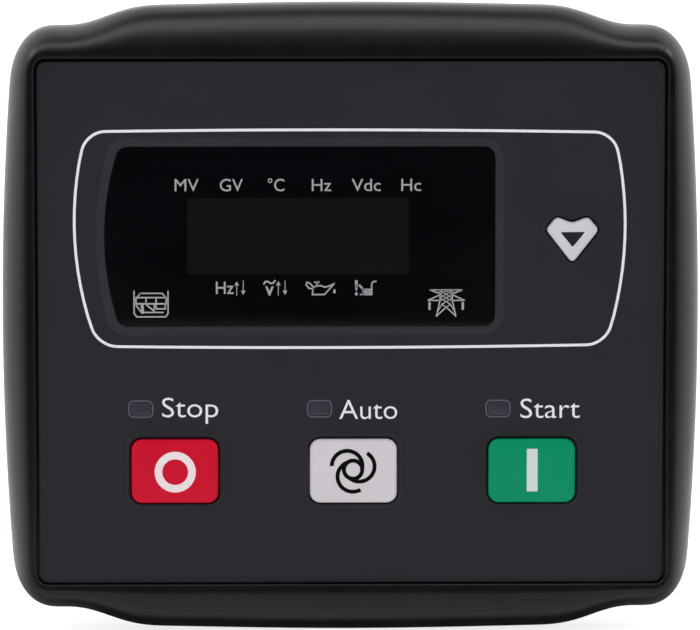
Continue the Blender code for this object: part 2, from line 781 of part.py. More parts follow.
def baffle_size(growth=0.0):
    """Width and height of the light baffle, which fills the opening behind the window."""
    width = WINDOW_WIDTH - 2 * WINDOW_LEDGE - 2 * SEAT_GAP
    height = WINDOW_HEIGHT - 2 * WINDOW_LEDGE - 2 * SEAT_GAP
    return width + 2 * growth, height + 2 * growth


def baffle_centre():
    return WINDOW_X, WINDOW_Z


def sign_places():
    """x and z of each sign on the window, which has a light well behind it."""
    upper = [(UPPER_SIGN_X + SIGN_PITCH * i, UPPER_SIGN_Z) for i in range(UPPER_SIGN_COUNT)]
    lower = [(UPPER_SIGN_X + SIGN_PITCH * (i + 1), LOWER_SIGN_Z) for i in range(LOWER_SIGN_COUNT)]
    left = WINDOW_X - WINDOW_WIDTH / 2 + SUPPLY_SIGN_FROM_LEFT
    right = WINDOW_X + WINDOW_WIDTH / 2 - SUPPLY_SIGN_FROM_RIGHT
    return upper + lower + [(left, SUPPLY_SIGN_Z), (right, SUPPLY_SIGN_Z)]


def light_baffle():
    front, rear = WINDOW_REAR + SEAT_GAP, BOARD_FRONT - SEAT_GAP
    block = rectangle(*baffle_size(), *baffle_centre())

    def wells(bm):
        opening = rectangle(MODULE_WIDTH + 2 * SEAT_GAP, MODULE_HEIGHT + 2 * SEAT_GAP, MODULE_X, MODULE_Z)
        prism(bm, opening, front - SEAT_GAP, rear + SEAT_GAP)
        for x, z in sign_places():
            prism(bm, rectangle(WELL_WIDTH, WELL_HEIGHT, x, z), front - SEAT_GAP, rear + SEAT_GAP)

    baffle = new_object("light_baffle", lambda bm: prism(bm, block, front, rear), black_moulding())
    cut(baffle, wells)


def segment_outlines(x, z):
    """The seven bars of a digit and its dot, each pointed at both ends, leaning with the digit."""
    lean = math.tan(math.radians(DIGIT_SLANT_DEG))
    half = SEGMENT_WIDTH / 2
    gap = SEGMENT_WIDTH / 6
    left, right = -DIGIT_WIDTH / 2 + half, DIGIT_WIDTH / 2 - half
    levels = (-DIGIT_HEIGHT / 2 + half, 0.0, DIGIT_HEIGHT / 2 - half)
    bars = []
    for level in levels:
        start, end = left + gap, right - gap
        bars.append(
            [
                (start, level),
                (start + half, level - half),
                (end - half, level - half),
                (end, level),
                (end - half, level + half),
                (start + half, level + half),
            ]
        )
    for low, high in zip(levels, levels[1:]):
        for side in (left, right):
            start, end = low + gap, high - gap
            bars.append(
                [
                    (side, start),
                    (side + half, start + half),
                    (side + half, end - half),
                    (side, end),
                    (side - half, end - half),
                    (side - half, start + half),
                ]
            )
    bars.append(circle(half, DIGIT_WIDTH / 2 + SEGMENT_WIDTH, levels[0], sides=8))
    return [[(x + u + lean * v, z + v) for u, v in bar] for bar in bars]


def display_module():
    """A four-digit module with its bars standing just proud of its face."""
    face = WINDOW_REAR + SEAT_GAP + SEGMENT_RISE
    block = rectangle(MODULE_WIDTH, MODULE_HEIGHT, MODULE_X, MODULE_Z)

    def bars(bm):
        for i in range(DIGIT_COUNT):
            x = MODULE_X + DIGIT_PITCH * (i - (DIGIT_COUNT - 1) / 2)
            for outline in segment_outlines(x, MODULE_Z):
                prism(bm, outline, face - SEGMENT_RISE, face + SEGMENT_RISE)

    module = new_object(
        "display_module",
        lambda bm: prism(bm, block, face, BOARD_FRONT - SEAT_GAP),
        material("display_grey", (0.045, 0.040, 0.045), 0.45),
    )
    join(module, bars)


# Keys and their switches

def key_skin(bm, outline):
    """The cap, rounded at its front edge, and the flange that keeps it behind the plate."""

    def ring(growth, y):
        return [(u, y, v) for u, v in outline(growth)]

    loft(
        bm,
        [
            ring(-KEY_EDGE, KEY_FRONT),
            ring(-KEY_EDGE * 0.4, KEY_FRONT + KEY_EDGE * 0.15),
            ring(0.0, KEY_FRONT + KEY_EDGE),
            ring(0.0, KEY_FLANGE_FRONT),
            ring(KEY_FLANGE_REACH, KEY_FLANGE_FRONT),
            ring(KEY_FLANGE_REACH, KEY_REAR),
        ],
    )


def key_with_switch(name, x, z, outline, colour):
    """A key on its slide axis, its plunger behind it, and the switch body that the plunger slides in."""
    key = new_object(
        f"key_{name}", lambda bm: key_skin(bm, outline), material(f"key_{name}", colour, 0.42), (x, 0.0, z)
    )
    plunger_rear = PLUNGER_FRONT + PLUNGER_LENGTH
    new_object(
        f"plunger_{name}",
        lambda bm: prism(bm, circle(PLUNGER_RADIUS), PLUNGER_FRONT, plunger_rear),
        material("plunger_plastic", (0.550, 0.120, 0.040), 0.5),
        parent=key,
    )
    body = rounded_rectangle(SWITCH_SIZE, SWITCH_SIZE, SWITCH_SIZE / 12, steps=1)
    switch = new_object(
        f"switch_{name}",
        lambda bm: prism(bm, body, SWITCH_FRONT, SWITCH_REAR),
        material("switch_plastic", (0.020, 0.020, 0.022), 0.5),
        (x, 0.0, z),
    )
    bore = circle(PLUNGER_RADIUS + SLIDE_GAP)
    bore_floor = plunger_rear + KEY_TRAVEL + SEAT_GAP
    cut(switch, lambda bm: prism(bm, bore, SWITCH_FRONT - SEAT_GAP, bore_floor))


def keys():
    colours = {
        "stop": (0.560, 0.010, 0.027),
        "auto": (0.540, 0.530, 0.540),
        "start": (0.002, 0.260, 0.115),
        "scroll": (0.560, 0.550, 0.570),
    }
    for name, x, z, outline in key_places():
        key_with_switch(name, x, z, outline, colours[name])


# Light guides and lights

def guide_skin(bm):
    """A short clear bar, flush with the overlay, and the flange behind the plate."""

    def ring(growth, y):
        return [(u, y, v) for u, v in guide_outline(growth)]

    flange_front = PLATE_REAR + SEAT_GAP
    loft(
        bm,
        [
            ring(0.0, OVERLAY_FRONT),
            ring(0.0, flange_front),
            ring(GUIDE_FLANGE_REACH, flange_front),
            ring(GUIDE_FLANGE_REACH, flange_front + GUIDE_FLANGE_THICKNESS),
            ring(0.0, flange_front + GUIDE_FLANGE_THICKNESS),
            ring(0.0, SWITCH_REAR - LED_DEPTH - SEAT_GAP),
        ],
    )


def light_guides():
    for name, x, z in guide_places():
        new_object(f"light_guide_{name}", guide_skin, guide_plastic(), (x, 0.0, z))
        led = rectangle(LED_WIDTH, LED_HEIGHT)
        new_object(
            f"led_{name}",
            lambda bm, led=led: prism(bm, led, SWITCH_REAR - LED_DEPTH, SWITCH_REAR),
            material("led_white", (0.700, 0.690, 0.560), 0.4),
            (x, 0.0, z),
        )


# Boards

def notched_board():
    """A board that fills the housing, with a notch at each corner that clears the post there."""
    half_width, half_height = INNER_WIDTH / 2 - BOARD_GAP, INNER_HEIGHT / 2 - BOARD_GAP
    step_x, step_z = half_width - POST_SIZE, half_height - POST_SIZE
    quarter = [(half_width, step_z), (step_x, step_z), (step_x, half_height)]
    points = quarter + [(-u, v) for u, v in reversed(quarter)]
    return points + [(-u, -v) for u, v in quarter] + [(u, -v) for u, v in reversed(quarter)]


def screw_bores(bm, places, front, rear):
    for x, z in places:
        prism(bm, circle(BOARD_BORE_RADIUS, x, z), front, rear)


def pillar_places():
    return [(side * PILLAR_X, z) for side in (-1, 1) for z in PILLAR_Z]


def board_screw_places():
    return [(side * BOARD_SCREW_X, up * BOARD_SCREW_Z) for side, up in CORNERS]


def front_board():
    """Carries the display, the switches and the lights."""
    outline = notched_board()
    board = new_object(
        "front_board", lambda bm: prism(bm, outline, BOARD_FRONT, BOARD_REAR), board_laminate()
    )
    ends = (BOARD_FRONT - SEAT_GAP, BOARD_REAR + SEAT_GAP)
    cut(board, lambda bm: screw_bores(bm, board_screw_places(), *ends))


def power_board():
    """Carries the supply, the relays and the terminals."""
    outline = notched_board()
    board = new_object(
        "power_board", lambda bm: prism(bm, outline, POWER_BOARD_FRONT, POWER_BOARD_REAR), board_laminate()
    )
    ends = (POWER_BOARD_FRONT - SEAT_GAP, POWER_BOARD_REAR + SEAT_GAP)
    cut(board, lambda bm: screw_bores(bm, pillar_places(), *ends))


def board_link_header():
    """Pins between two strips, one strip standing on each board."""
    front, rear = BOARD_REAR + SEAT_GAP, POWER_BOARD_FRONT - SEAT_GAP
    length = LINK_PINS * LINK_PITCH

    def strips_and_pins(bm):
        prism(bm, rectangle(LINK_BODY, length), front, front + LINK_BODY)

    def others(bm):
        prism(bm, rectangle(LINK_BODY, length), rear - LINK_BODY, rear)
        for i in range(LINK_PINS):
            z = LINK_PITCH * (i - (LINK_PINS - 1) / 2)
            pin = rectangle(LINK_PIN_WIDTH, LINK_PIN_WIDTH, 0.0, z)
            prism(bm, pin, front + LINK_BODY / 2, rear - LINK_BODY / 2)

    header = new_object(
        "board_link_header",
        strips_and_pins,
        material("header_black", (0.015, 0.015, 0.015), 0.5),
        (LINK_X, 0.0, LINK_Z),
    )
    join(header, others)


def board_block(name, width, height, depth, x, z, made_of, edge):
    """A square component on the front of the power board."""
    rear = POWER_BOARD_FRONT - SEAT_GAP
    block = new_object(
        name, lambda bm: prism(bm, rectangle(width, height), rear - depth, rear), made_of, (x, 0.0, z)
    )
    soften(block, edge)


def board_components():
    for i in range(RELAY_COUNT):
        x = RELAY_PITCH * (i - (RELAY_COUNT - 1) / 2)
        board_block(
            f"relay_{i + 1}", RELAY_WIDTH, RELAY_HEIGHT, RELAY_DEPTH, x, RELAY_Z, relay_plastic(), 0.0006
        )
    board_block(
        "supply_transformer",
        TRANSFORMER_SIZE,
        TRANSFORMER_SIZE,
        TRANSFORMER_DEPTH,
        TRANSFORMER_X,
        TRANSFORMER_Z,
        material("transformer_yellow", (0.500, 0.330, 0.040), 0.5),
        0.0010,
    )
    rear = POWER_BOARD_FRONT - SEAT_GAP
    crimp = CAPACITOR_RADIUS / 8
    section = [
        (CAPACITOR_RADIUS - crimp, rear - CAPACITOR_DEPTH),
        (CAPACITOR_RADIUS, rear - CAPACITOR_DEPTH + crimp),
        (CAPACITOR_RADIUS, rear - 4 * crimp),
        (CAPACITOR_RADIUS - crimp, rear - 3 * crimp),
        (CAPACITOR_RADIUS, rear - 2 * crimp),
        (CAPACITOR_RADIUS, rear),
    ]
    new_object(
        "supply_capacitor",
        lambda bm: turned(bm, section),
        material("capacitor_sleeve", (0.015, 0.020, 0.060), 0.4),
        (CAPACITOR_X, 0.0, CAPACITOR_Z),
    )
    chip_front = BOARD_REAR + SEAT_GAP
    new_object(
        "controller_chip",
        lambda bm: prism(bm, rectangle(CHIP_SIZE, CHIP_SIZE), chip_front, chip_front + CHIP_DEPTH),
        material("chip_epoxy", (0.012, 0.012, 0.013), 0.6),
        (CHIP_X, 0.0, CHIP_Z),
    )


# Rear housing

def post_places():
    return [(side * HOUSING_SCREW_X, up * HOUSING_SCREW_Z) for side, up in CORNERS]


def header_size(ways, pitch, growth=0.0):
    return ways * pitch + 2 * HEADER_END + 2 * growth, HEADER_HEIGHT + 2 * growth


def rear_housing():
    """A deep tray with four screw posts, four pillars for the power board, vents and openings."""
    outer = rounded_rectangle(HOUSING_WIDTH, HOUSING_HEIGHT, HOUSING_RADIUS)
    inner = rounded_rectangle(INNER_WIDTH, INNER_HEIGHT, HOUSING_INNER_RADIUS, steps=SMALL_ARC_STEPS)
    housing = new_object(
        "rear_housing", lambda bm: prism(bm, outer, HOUSING_FRONT, HOUSING_DEPTH), housing_plastic()
    )
    cut(housing, lambda bm: prism(bm, inner, HOUSING_FRONT - HOUSING_WALL, HOUSING_FLOOR))
    root = HOUSING_WALL / 2

    def posts(bm):
        for x, z in post_places():
            side, up = math.copysign(root, x), math.copysign(root, z)
            post = rectangle(POST_SIZE + root, POST_SIZE + root, x + side / 2, z + up / 2)
            prism(bm, post, POST_FRONT, HOUSING_FLOOR + root)
        for x, z in pillar_places():
            pillar = circle(BOARD_BORE_RADIUS + BOSS_WALL, x, z)
            prism(bm, pillar, POWER_BOARD_REAR + SEAT_GAP, HOUSING_FLOOR + root)

    def bores(bm):
        for x, z in post_places():
            prism(bm, circle(BORE_RADIUS, x, z), POST_FRONT - SEAT_GAP, HOUSING_DEPTH - root)
        screw_bores(
            bm,
            pillar_places(),
            POWER_BOARD_REAR,
            POWER_BOARD_REAR + BOARD_SCREW_REACH + SCREW_GAP,
        )
        for side in (-1, 1):
            clip_slots(bm, side)

    def openings(bm):
        for x, z in post_places():
            bore = circle(SCREW_HEAD_RADIUS + SCREW_GAP, x, z)
            prism(bm, bore, HOUSING_DEPTH - COUNTERBORE_DEPTH, HOUSING_DEPTH + root)
        for ways, pitch, z in ((DC_WAYS, DC_PITCH, DC_Z), (AC_WAYS, AC_PITCH, AC_Z)):
            size = header_size(ways, pitch, SEAT_GAP)
            prism(bm, rectangle(*size, 0.0, z), HOUSING_FLOOR - root, HOUSING_DEPTH + root)
        for i in range(VENT_COUNT):
            x = VENT_PITCH * (i - (VENT_COUNT - 1) / 2)
            middle = VENT_START + VENT_LENGTH / 2
            slot = rounded_rectangle(VENT_WIDTH, VENT_LENGTH, VENT_WIDTH / 3, x, middle, steps=1)
            for up in (-1, 1):
                wall = sorted((up * (INNER_HEIGHT / 2 - root), up * (HOUSING_HEIGHT / 2 + root)))
                prism(bm, slot, *wall, axis="Z")

    join(housing, posts)
    cut(housing, bores)
    cut(housing, openings)


# Terminals

def pin_places(ways, pitch):
    return [pitch * (i - (ways - 1) / 2) for i in range(ways)]


def terminal_header(name, ways, pitch, z):
    """A shrouded strip on the power board, with a pin for each way, reaching out through the housing."""
    width, height = header_size(ways, pitch)
    floor = HEADER_FRONT + HEADER_FLOOR

    def block(bm):
        prism(bm, rectangle(width, height), HEADER_FRONT, HEADER_REAR)

    def cavity(bm):
        inside = rectangle(width - 2 * HEADER_WALL, height - 2 * HEADER_WALL)
        prism(bm, inside, floor, HEADER_REAR + HEADER_WALL)

    def pins(bm):
        for x in pin_places(ways, pitch):
            pin = rectangle(PIN_WIDTH, PIN_WIDTH, x, 0.0)
            prism(bm, pin, floor - HEADER_FLOOR / 2, floor + PIN_LENGTH)

    header = new_object(
        f"terminal_header_{name}", block, material("header_green", (0.015, 0.200, 0.070), 0.5), (0.0, 0.0, z)
    )
    cut(header, cavity)
    join(header, pins)


def terminal_plug(name, ways, pitch, z):
    """The plug in its header: a nose in the shroud, wire entries at the rear and screws on top."""
    nose_width = ways * pitch + 2 * HEADER_END - 2 * HEADER_WALL - 2 * SEAT_GAP
    nose_height = HEADER_HEIGHT - 2 * HEADER_WALL - 2 * SEAT_GAP
    nose_front = HEADER_FRONT + HEADER_FLOOR + SEAT_GAP
    body_front = HEADER_REAR + SEAT_GAP
    body_rear = body_front + PLUG_OUTSIDE
    body_top = nose_height / 2 + PLUG_RISE
    chamfer = PLUG_RISE / 2
    section = [
        (nose_front, -nose_height / 2),
        (body_rear, -nose_height / 2),
        (body_rear, body_top - chamfer),
        (body_rear - chamfer / 2, body_top),
        (body_front, body_top),
        (body_front, nose_height / 2),
        (nose_front, nose_height / 2),
    ]

    def body(bm):
        prism(bm, section, -nose_width / 2, nose_width / 2, axis="X")

    def holes(bm):
        entry_z = -nose_height / 2 + PLUG_ENTRY / 2 + HEADER_WALL
        screw_y = (body_front + body_rear - chamfer / 2) / 2
        for x in pin_places(ways, pitch):
            socket = rectangle(SOCKET_WIDTH, SOCKET_WIDTH, x, 0.0)
            prism(bm, socket, nose_front - SEAT_GAP, nose_front + PIN_LENGTH + SEAT_GAP)
            entry = rectangle(PLUG_ENTRY, PLUG_ENTRY, x, entry_z)
            prism(bm, entry, body_rear - PLUG_ENTRY_DEPTH, body_rear + SEAT_GAP)
            recess = circle(PLUG_SCREW_RADIUS, x, screw_y, sides=8)
            prism(bm, recess, body_top - PLUG_SCREW_DEPTH, body_top + SEAT_GAP, axis="Z")

    plug = new_object(f"terminal_plug_{name}", body, terminal_plastic(), (0.0, 0.0, z))
    cut(plug, holes)


def terminals():
    for name, ways, pitch, z in (("dc", DC_WAYS, DC_PITCH, DC_Z), ("ac", AC_WAYS, AC_PITCH, AC_Z)):
        terminal_header(name, ways, pitch, z)
        terminal_plug(name, ways, pitch, z)


# Screws

def slotted_screw(name, shank, head, head_height, tip, under_head, place):
    """A screw along Y with a blunt point, a rounded head and a slot."""
    edge = head_height / 3
    top = under_head + head_height
    section = [
        (shank * 0.6, tip),
        (shank, tip + shank * 0.4),
        (shank, under_head),
        (head, under_head),
        (head, top - edge),
        (head - edge, top),
    ]
    made = new_object(name, lambda bm: turned(bm, section), zinc_steel(), place)
    slot = rectangle(2.4 * head, head / 4)
    cut(made, lambda bm: prism(bm, slot, top - head_height / 2, top + head_height))


def housing_screws():
    """Long screws in the posts, from the counterbores at the rear to the bosses on the bezel."""
    under_head = HOUSING_DEPTH - COUNTERBORE_DEPTH + SEAT_GAP
    tip = POST_FRONT - SEAT_GAP - HOUSING_SCREW_REACH
    for i, (x, z) in enumerate(post_places()):
        slotted_screw(
            f"housing_screw_{i + 1}",
            SCREW_RADIUS,
            SCREW_HEAD_RADIUS,
            SCREW_HEAD_HEIGHT,
            tip,
            under_head,
            (x, 0.0, z),
        )


def board_screw(name, x, z, tip, under_head):
    """A short screw along Y. Its head lies away from its tip."""
    top = under_head + math.copysign(BOARD_SCREW_HEAD_HEIGHT, under_head - tip)
    section = [
        (BOARD_SCREW_RADIUS, tip),
        (BOARD_SCREW_RADIUS, under_head),
        (BOARD_SCREW_HEAD_RADIUS, under_head),
        (BOARD_SCREW_HEAD_RADIUS, top),
    ]
    new_object(name, lambda bm: turned(bm, section, sides=HOLE_SIDES), zinc_steel(), (x, 0.0, z))


def board_screws():
    """The front board's screws go in from behind, and the power board's from the front into the pillars."""
    for i, (x, z) in enumerate(board_screw_places()):
        board_screw(f"board_screw_{i + 1}", x, z, BOARD_FRONT - BOARD_SCREW_REACH, BOARD_REAR + SEAT_GAP)
    for i, (x, z) in enumerate(pillar_places()):
        tip = POWER_BOARD_REAR + BOARD_SCREW_REACH
        board_screw(f"power_board_screw_{i + 1}", x, z, tip, POWER_BOARD_FRONT - SEAT_GAP)


# Mounting clips

def hook_starts():
    first = CLIP_START + CLIP_HOOK_MARGIN
    return [first, first + CLIP_HOOK_SPACING]


def clip_slots(bm, side):
    """The openings in a side wall that the clip's hooks go through before they slide forwards."""
    walls = (INNER_WIDTH / 2 - HOUSING_WALL / 2, HOUSING_WIDTH / 2 + HOUSING_WALL / 2)
    start, end = sorted(side * wall for wall in walls)
    half = CLIP_HOOK_HEIGHT / 2 + SEAT_GAP
    for hook in hook_starts():
        slot_start = hook - SEAT_GAP
        slot_end = hook + CLIP_HOOK_LENGTH + CLIP_HOOK_CATCH + SEAT_GAP
        corners = [(slot_start, -half), (slot_end, -half), (slot_end, half), (slot_start, half)]
        prism(bm, corners, start, end, axis="X")


def mounting_clip(name, side):
    """A plate along the housing's side, two hooks through the wall and a block bored for the clamp screw."""
    face = HOUSING_WIDTH / 2 + SEAT_GAP
    back = face + CLIP_THICKNESS
    end = CLIP_START + CLIP_LENGTH
    clamp_x = HOUSING_WIDTH / 2 + CLAMP_OFFSET
    outside = clamp_x + CLAMP_RADIUS + CLAMP_BLOCK_WALL
    wedge = end - 2 * CLIP_BLOCK_LENGTH
    plate = [(face, CLIP_START), (back, CLIP_START), (back, end), (face, end)]
    block = [
        (face + CLIP_THICKNESS / 2, wedge),
        (back, wedge),
        (outside, end - CLIP_BLOCK_LENGTH),
        (outside, end),
        (face + CLIP_THICKNESS / 2, end),
    ]
    catch_outer = HOUSING_WIDTH / 2 - HOUSING_WALL - SEAT_GAP
    catch_inner = catch_outer - CLIP_THICKNESS / 2

    def upright(bm, corners, height):
        prism(bm, [(side * u, v) for u, v in corners], -height / 2, height / 2, axis="Z")

    def additions(bm):
        upright(bm, block, CLIP_BLOCK_HEIGHT)
        for hook in hook_starts():
            hook_end = hook + CLIP_HOOK_LENGTH
            catch = hook - CLIP_HOOK_CATCH
            corners = [
                (back - CLIP_THICKNESS / 2, hook),
                (back - CLIP_THICKNESS / 2, hook_end),
                (catch_inner, hook_end),
                (catch_inner, catch),
                (catch_outer, catch),
                (catch_outer, hook),
            ]
            upright(bm, corners, CLIP_HOOK_HEIGHT)

    clip = new_object(
        f"mounting_clip_{name}", lambda bm: upright(bm, plate, CLIP_HEIGHT), housing_plastic()
    )
    join(clip, additions)
    bore = circle(CLAMP_RADIUS + SCREW_GAP, side * clamp_x, 0.0)
    cut(clip, lambda bm: prism(bm, bore, CLIP_START, end + CLIP_THICKNESS))
    slotted_screw(
        f"clamp_screw_{name}",
        CLAMP_RADIUS,
        CLAMP_HEAD_RADIUS,
        CLAMP_HEAD_HEIGHT,
        CLAMP_TIP,
        end + CLAMP_BACK,
        (side * clamp_x, 0.0, 0.0),
    )


def mounting_clips():
    mounting_clip("left", -1)
    mounting_clip("right", 1)


def clear_scene():
    for obj in list(bpy.data.objects):
        bpy.data.objects.remove(obj, do_unlink=True)


def main():
    clear_scene()
    front_bezel()
    panel_gasket()
    front_overlay()
    display_window()
    light_baffle()
    display_module()
    keys()
    light_guides()
    front_board()
    power_board()
    board_link_header()
    board_components()
    rear_housing()
    terminals()
    housing_screws()
    board_screws()
    mounting_clips()


if __name__ == "__main__":
    main()
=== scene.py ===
import functools
import math

import bmesh
import bpy
from bpy.props import FloatProperty, FloatVectorProperty, IntProperty, PointerProperty
from mathutils import Matrix, Vector
from mathutils.geometry import interpolate_bezier


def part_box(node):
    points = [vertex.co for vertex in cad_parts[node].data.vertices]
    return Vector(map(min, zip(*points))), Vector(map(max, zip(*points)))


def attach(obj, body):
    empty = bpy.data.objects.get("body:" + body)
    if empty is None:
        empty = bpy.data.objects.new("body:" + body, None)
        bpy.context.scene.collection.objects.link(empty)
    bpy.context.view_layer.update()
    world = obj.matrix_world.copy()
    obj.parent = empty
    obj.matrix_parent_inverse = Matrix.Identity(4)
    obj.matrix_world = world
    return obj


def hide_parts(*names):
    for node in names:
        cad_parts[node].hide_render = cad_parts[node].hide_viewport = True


bl_info = {
    "name": "Genset Controller",
    "version": (1, 0, 0),
    "blender": (4, 5, 0),
    "location": "View3D > Sidebar > Controller",
    "description": "Builds the finished pieces of a panel-mounted genset controller over its CAD frame",
    "category": "Object",
}

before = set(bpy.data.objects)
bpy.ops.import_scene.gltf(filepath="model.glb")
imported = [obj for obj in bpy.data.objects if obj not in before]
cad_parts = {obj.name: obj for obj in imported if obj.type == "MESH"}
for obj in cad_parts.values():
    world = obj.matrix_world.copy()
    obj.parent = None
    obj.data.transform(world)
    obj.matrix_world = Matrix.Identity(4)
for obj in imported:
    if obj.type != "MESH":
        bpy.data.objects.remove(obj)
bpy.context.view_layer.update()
MM = 0.001

BEZEL_LOW, BEZEL_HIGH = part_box("front_bezel")
OVERLAY_LOW, OVERLAY_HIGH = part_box("front_overlay")
WINDOW_LOW, WINDOW_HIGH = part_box("display_window")
FACE = OVERLAY_LOW.y

# Width, height and corner radius of each main key and each light guide
MAIN_KEY = (11.8 * MM, 8.7 * MM, 1.4 * MM)
LIGHT_GUIDE = (2.9 * MM, 1.9 * MM, 0.5 * MM)
WINDOW_BOW = 2.0 * MM
WINDOW_CORNER = 1.5 * MM
# Clearance between parts, and how far print reaches into the surface under it
GAP = 0.3 * MM
SINK = 0.02 * MM
# Side, ways, pitch, height of the row and first number of each terminal plug
TERMINALS = (("dc", 12, 5.08 * MM, -16.0 * MM, 1), ("ac", 5, 7.62 * MM, 15.0 * MM, 13))


# Sizes and colours that a user may change

def length(name, description, millimetres, low=0.0):
    return FloatProperty(
        name=name, description=description, default=millimetres * MM, min=low, unit="LENGTH", precision=5
    )


def colour(name, description, value):
    return FloatVectorProperty(
        name=name, description=description, default=value, size=3, min=0.0, max=1.0, subtype="COLOR"
    )


def share(name, description, value):
    return FloatProperty(name=name, description=description, default=value, min=0.0, max=1.0, subtype="FACTOR")


class BezelSettings(bpy.types.PropertyGroup):
    side_bow: length("Side bow", "How far each side swells past its ends", 1.8)
    wave_rise: length("Wave rise", "How far the middle of the top and bottom stands past the shoulders", 2.65)
    wave_crown: length("Wave crown", "Extra rise at the very middle", 0.5)
    wave_flat: length("Wave width", "Width of the raised middle", 55.8)
    wave_run: length("Wave run", "Width of each S curve beside the middle", 10.2)
    corner_reach: length("Corner reach", "How far the outer corners reach across", 5.7)
    corner_rise: length("Corner rise", "How far the outer corners reach up", 7.9)
    groove: length("Groove", "Gap between the overlay and the rim", 0.33)
    crest_share: share("Crest share", "Where the crest stands across the width of the rim", 0.80)
    section_steps: IntProperty(name="Section steps", description="Rings over the rim", default=18, min=4, max=60)
    black: colour("Black", "Colour of the moulded rim", (0.0040, 0.0037, 0.0044))
    gloss: share("Roughness", "Roughness of the rim", 0.27)


class FaceSettings(bpy.types.PropertyGroup):
    charcoal: colour("Charcoal", "Colour of the overlay film", (0.0168, 0.0160, 0.0205))
    film_roughness: share("Film roughness", "Roughness of the overlay film", 0.56)
    # The band round the window is lighter film that paints the highlight of a lit chamfer there.
    border_width: length("Window border", "Width of the softer band round the window", 1.2)
    lens_alpha: share("Lens density", "How much the smoked lens hides", 0.68)
    ink: colour("Ink", "Colour of the printed words and lines", (0.72, 0.70, 0.74))
    sign_ink: colour("Sign ink", "Colour of the signs on the window", (0.315, 0.31, 0.325))
    line_width: length("Frame line", "Width of the white line round the window", 0.37)
    ink_height: length("Ink height", "How far the print stands on the face", 0.02)


class KeySettings(bpy.types.PropertyGroup):
    edge: length("Edge", "Radius of the front edge of a key", 0.45)
    flange: length("Flange", "Reach of the flange behind the plate", 0.8)
    flange_depth: length("Flange depth", "Thickness of the flange", 0.8)
    red: colour("Red", "Colour of the stop key", (0.500, 0.0035, 0.0215))
    green: colour("Green", "Colour of the start key", (0.0004, 0.229, 0.1065))
    grey: colour("Light grey", "Colour of the auto key", (0.529, 0.499, 0.522))
    white: colour("White grey", "Colour of the scroll key", (0.510, 0.493, 0.529))
    symbol: colour("Stop symbol", "Colour of the ring on the stop key", (0.76, 0.66, 0.67))
    start_symbol: colour("Start symbol", "Colour of the bar on the start key", (0.56, 0.63, 0.62))


class RearSettings(bpy.types.PropertyGroup):
    housing_black: colour("Housing", "Colour of the rear housing", (0.0135, 0.0135, 0.0145))
    green: colour("Terminals", "Colour of the terminal plugs", (0.010, 0.190, 0.058))
    number_height: length("Number height", "Height of the terminal numbers", 1.7)
    thread_pitch: length("Thread pitch", "Pitch of the clamp screws", 0.7)


class StageSettings(bpy.types.PropertyGroup):
    distance: length("Camera distance", "From the camera to the face", 750.0)
    elevation: FloatProperty(
        name="Elevation", description="Height of the camera", default=math.radians(7.0), subtype="ANGLE"
    )
    azimuth: FloatProperty(
        name="Azimuth",
        description="Turn of the camera about the controller",
        default=math.radians(-0.84),
        subtype="ANGLE",
    )
    focal: FloatProperty(name="Focal length", description="Focal length in millimetres", default=284.0, min=1.0)
    fill: FloatProperty(name="Fill", description="Power of the soft fill light", default=1.36, min=0.0, unit="POWER")
    aim_up: length("Aim up", "Height that the camera aims at", 1.00, low=-0.1)
    aim_left: length("Aim left", "Side that the camera aims at", -0.15, low=-0.1)


SETTINGS = (
    ("controller_bezel", BezelSettings),
    ("controller_face", FaceSettings),
    ("controller_keys", KeySettings),
    ("controller_rear", RearSettings),
    ("controller_stage", StageSettings),
)


# Outlines across the face, as pairs of x and z

def rounded_outline(corners, radii, segments=8):
    """The corners joined, and each bevelled to an arc of its radius."""
    bm = bmesh.new()
    verts = [bm.verts.new((x, 0.0, z)) for x, z in corners]
    bm.faces.new(verts)
    cuts = []
    for i, vert in enumerate(verts):
        back = (verts[i - 1].co - vert.co).normalized()
        ahead = (verts[(i + 1) % len(verts)].co - vert.co).normalized()
        cuts.append(radii[i] / math.tan(back.angle(ahead) / 2) if radii[i] > 0 else 0.0)
    for vert, cut in zip(verts, cuts):
        if cut > 0:
            shape = {"segments": segments, "profile": 0.5, "clamp_overlap": False, "material": -1}
            bmesh.ops.bevel(bm, geom=[vert], offset=cut, offset_type="OFFSET", affect="VERTICES", **shape)
    (face,) = bm.faces
    points = [(vert.co.x, vert.co.z) for vert in face.verts]
    bm.free()
    return points


def rectangle(width, height, x=0.0, z=0.0):
    across, up = width / 2, height / 2
    return [(x - across, z - up), (x + across, z - up), (x + across, z + up), (x - across, z + up)]


def rounded_rectangle(width, height, radius, x=0.0, z=0.0, segments=8):
    return rounded_outline(rectangle(width, height, x, z), [radius] * 4, segments)


def circle_outline(radius, x=0.0, z=0.0, sides=32):
    bm = bmesh.new()
    made = bmesh.ops.create_circle(bm, cap_ends=False, segments=sides, radius=radius)["verts"]
    points = [(x + vert.co.x, z + vert.co.y) for vert in made]
    bm.free()
    return points


def grown(corners, distance):
    """The corners of the same outline with each side moved outwards. The corners run anticlockwise."""
    moved = []
    for i, corner in enumerate(corners):
        here = Vector(corner)
        before = (here - Vector(corners[i - 1])).normalized()
        after = (Vector(corners[(i + 1) % len(corners)]) - here).normalized()
        normal_before = Vector((before.y, -before.x))
        normal_after = Vector((after.y, -after.x))
        along = (normal_before + normal_after).normalized()
        moved.append(tuple(here + along * distance / along.dot(normal_before)))
    return moved


def bowed_side(start, end, bow, steps=10):
    """Points after start and up to end on a shallow arc that bows to the right of the way from start to end."""
    start, end = Vector(start), Vector(end)
    way = end - start
    out = Vector((way.y, -way.x)).normalized() * bow
    parts = [i / steps for i in range(1, steps + 1)]
    return [tuple(start + way * part + out * 4 * part * (1 - part)) for part in parts]


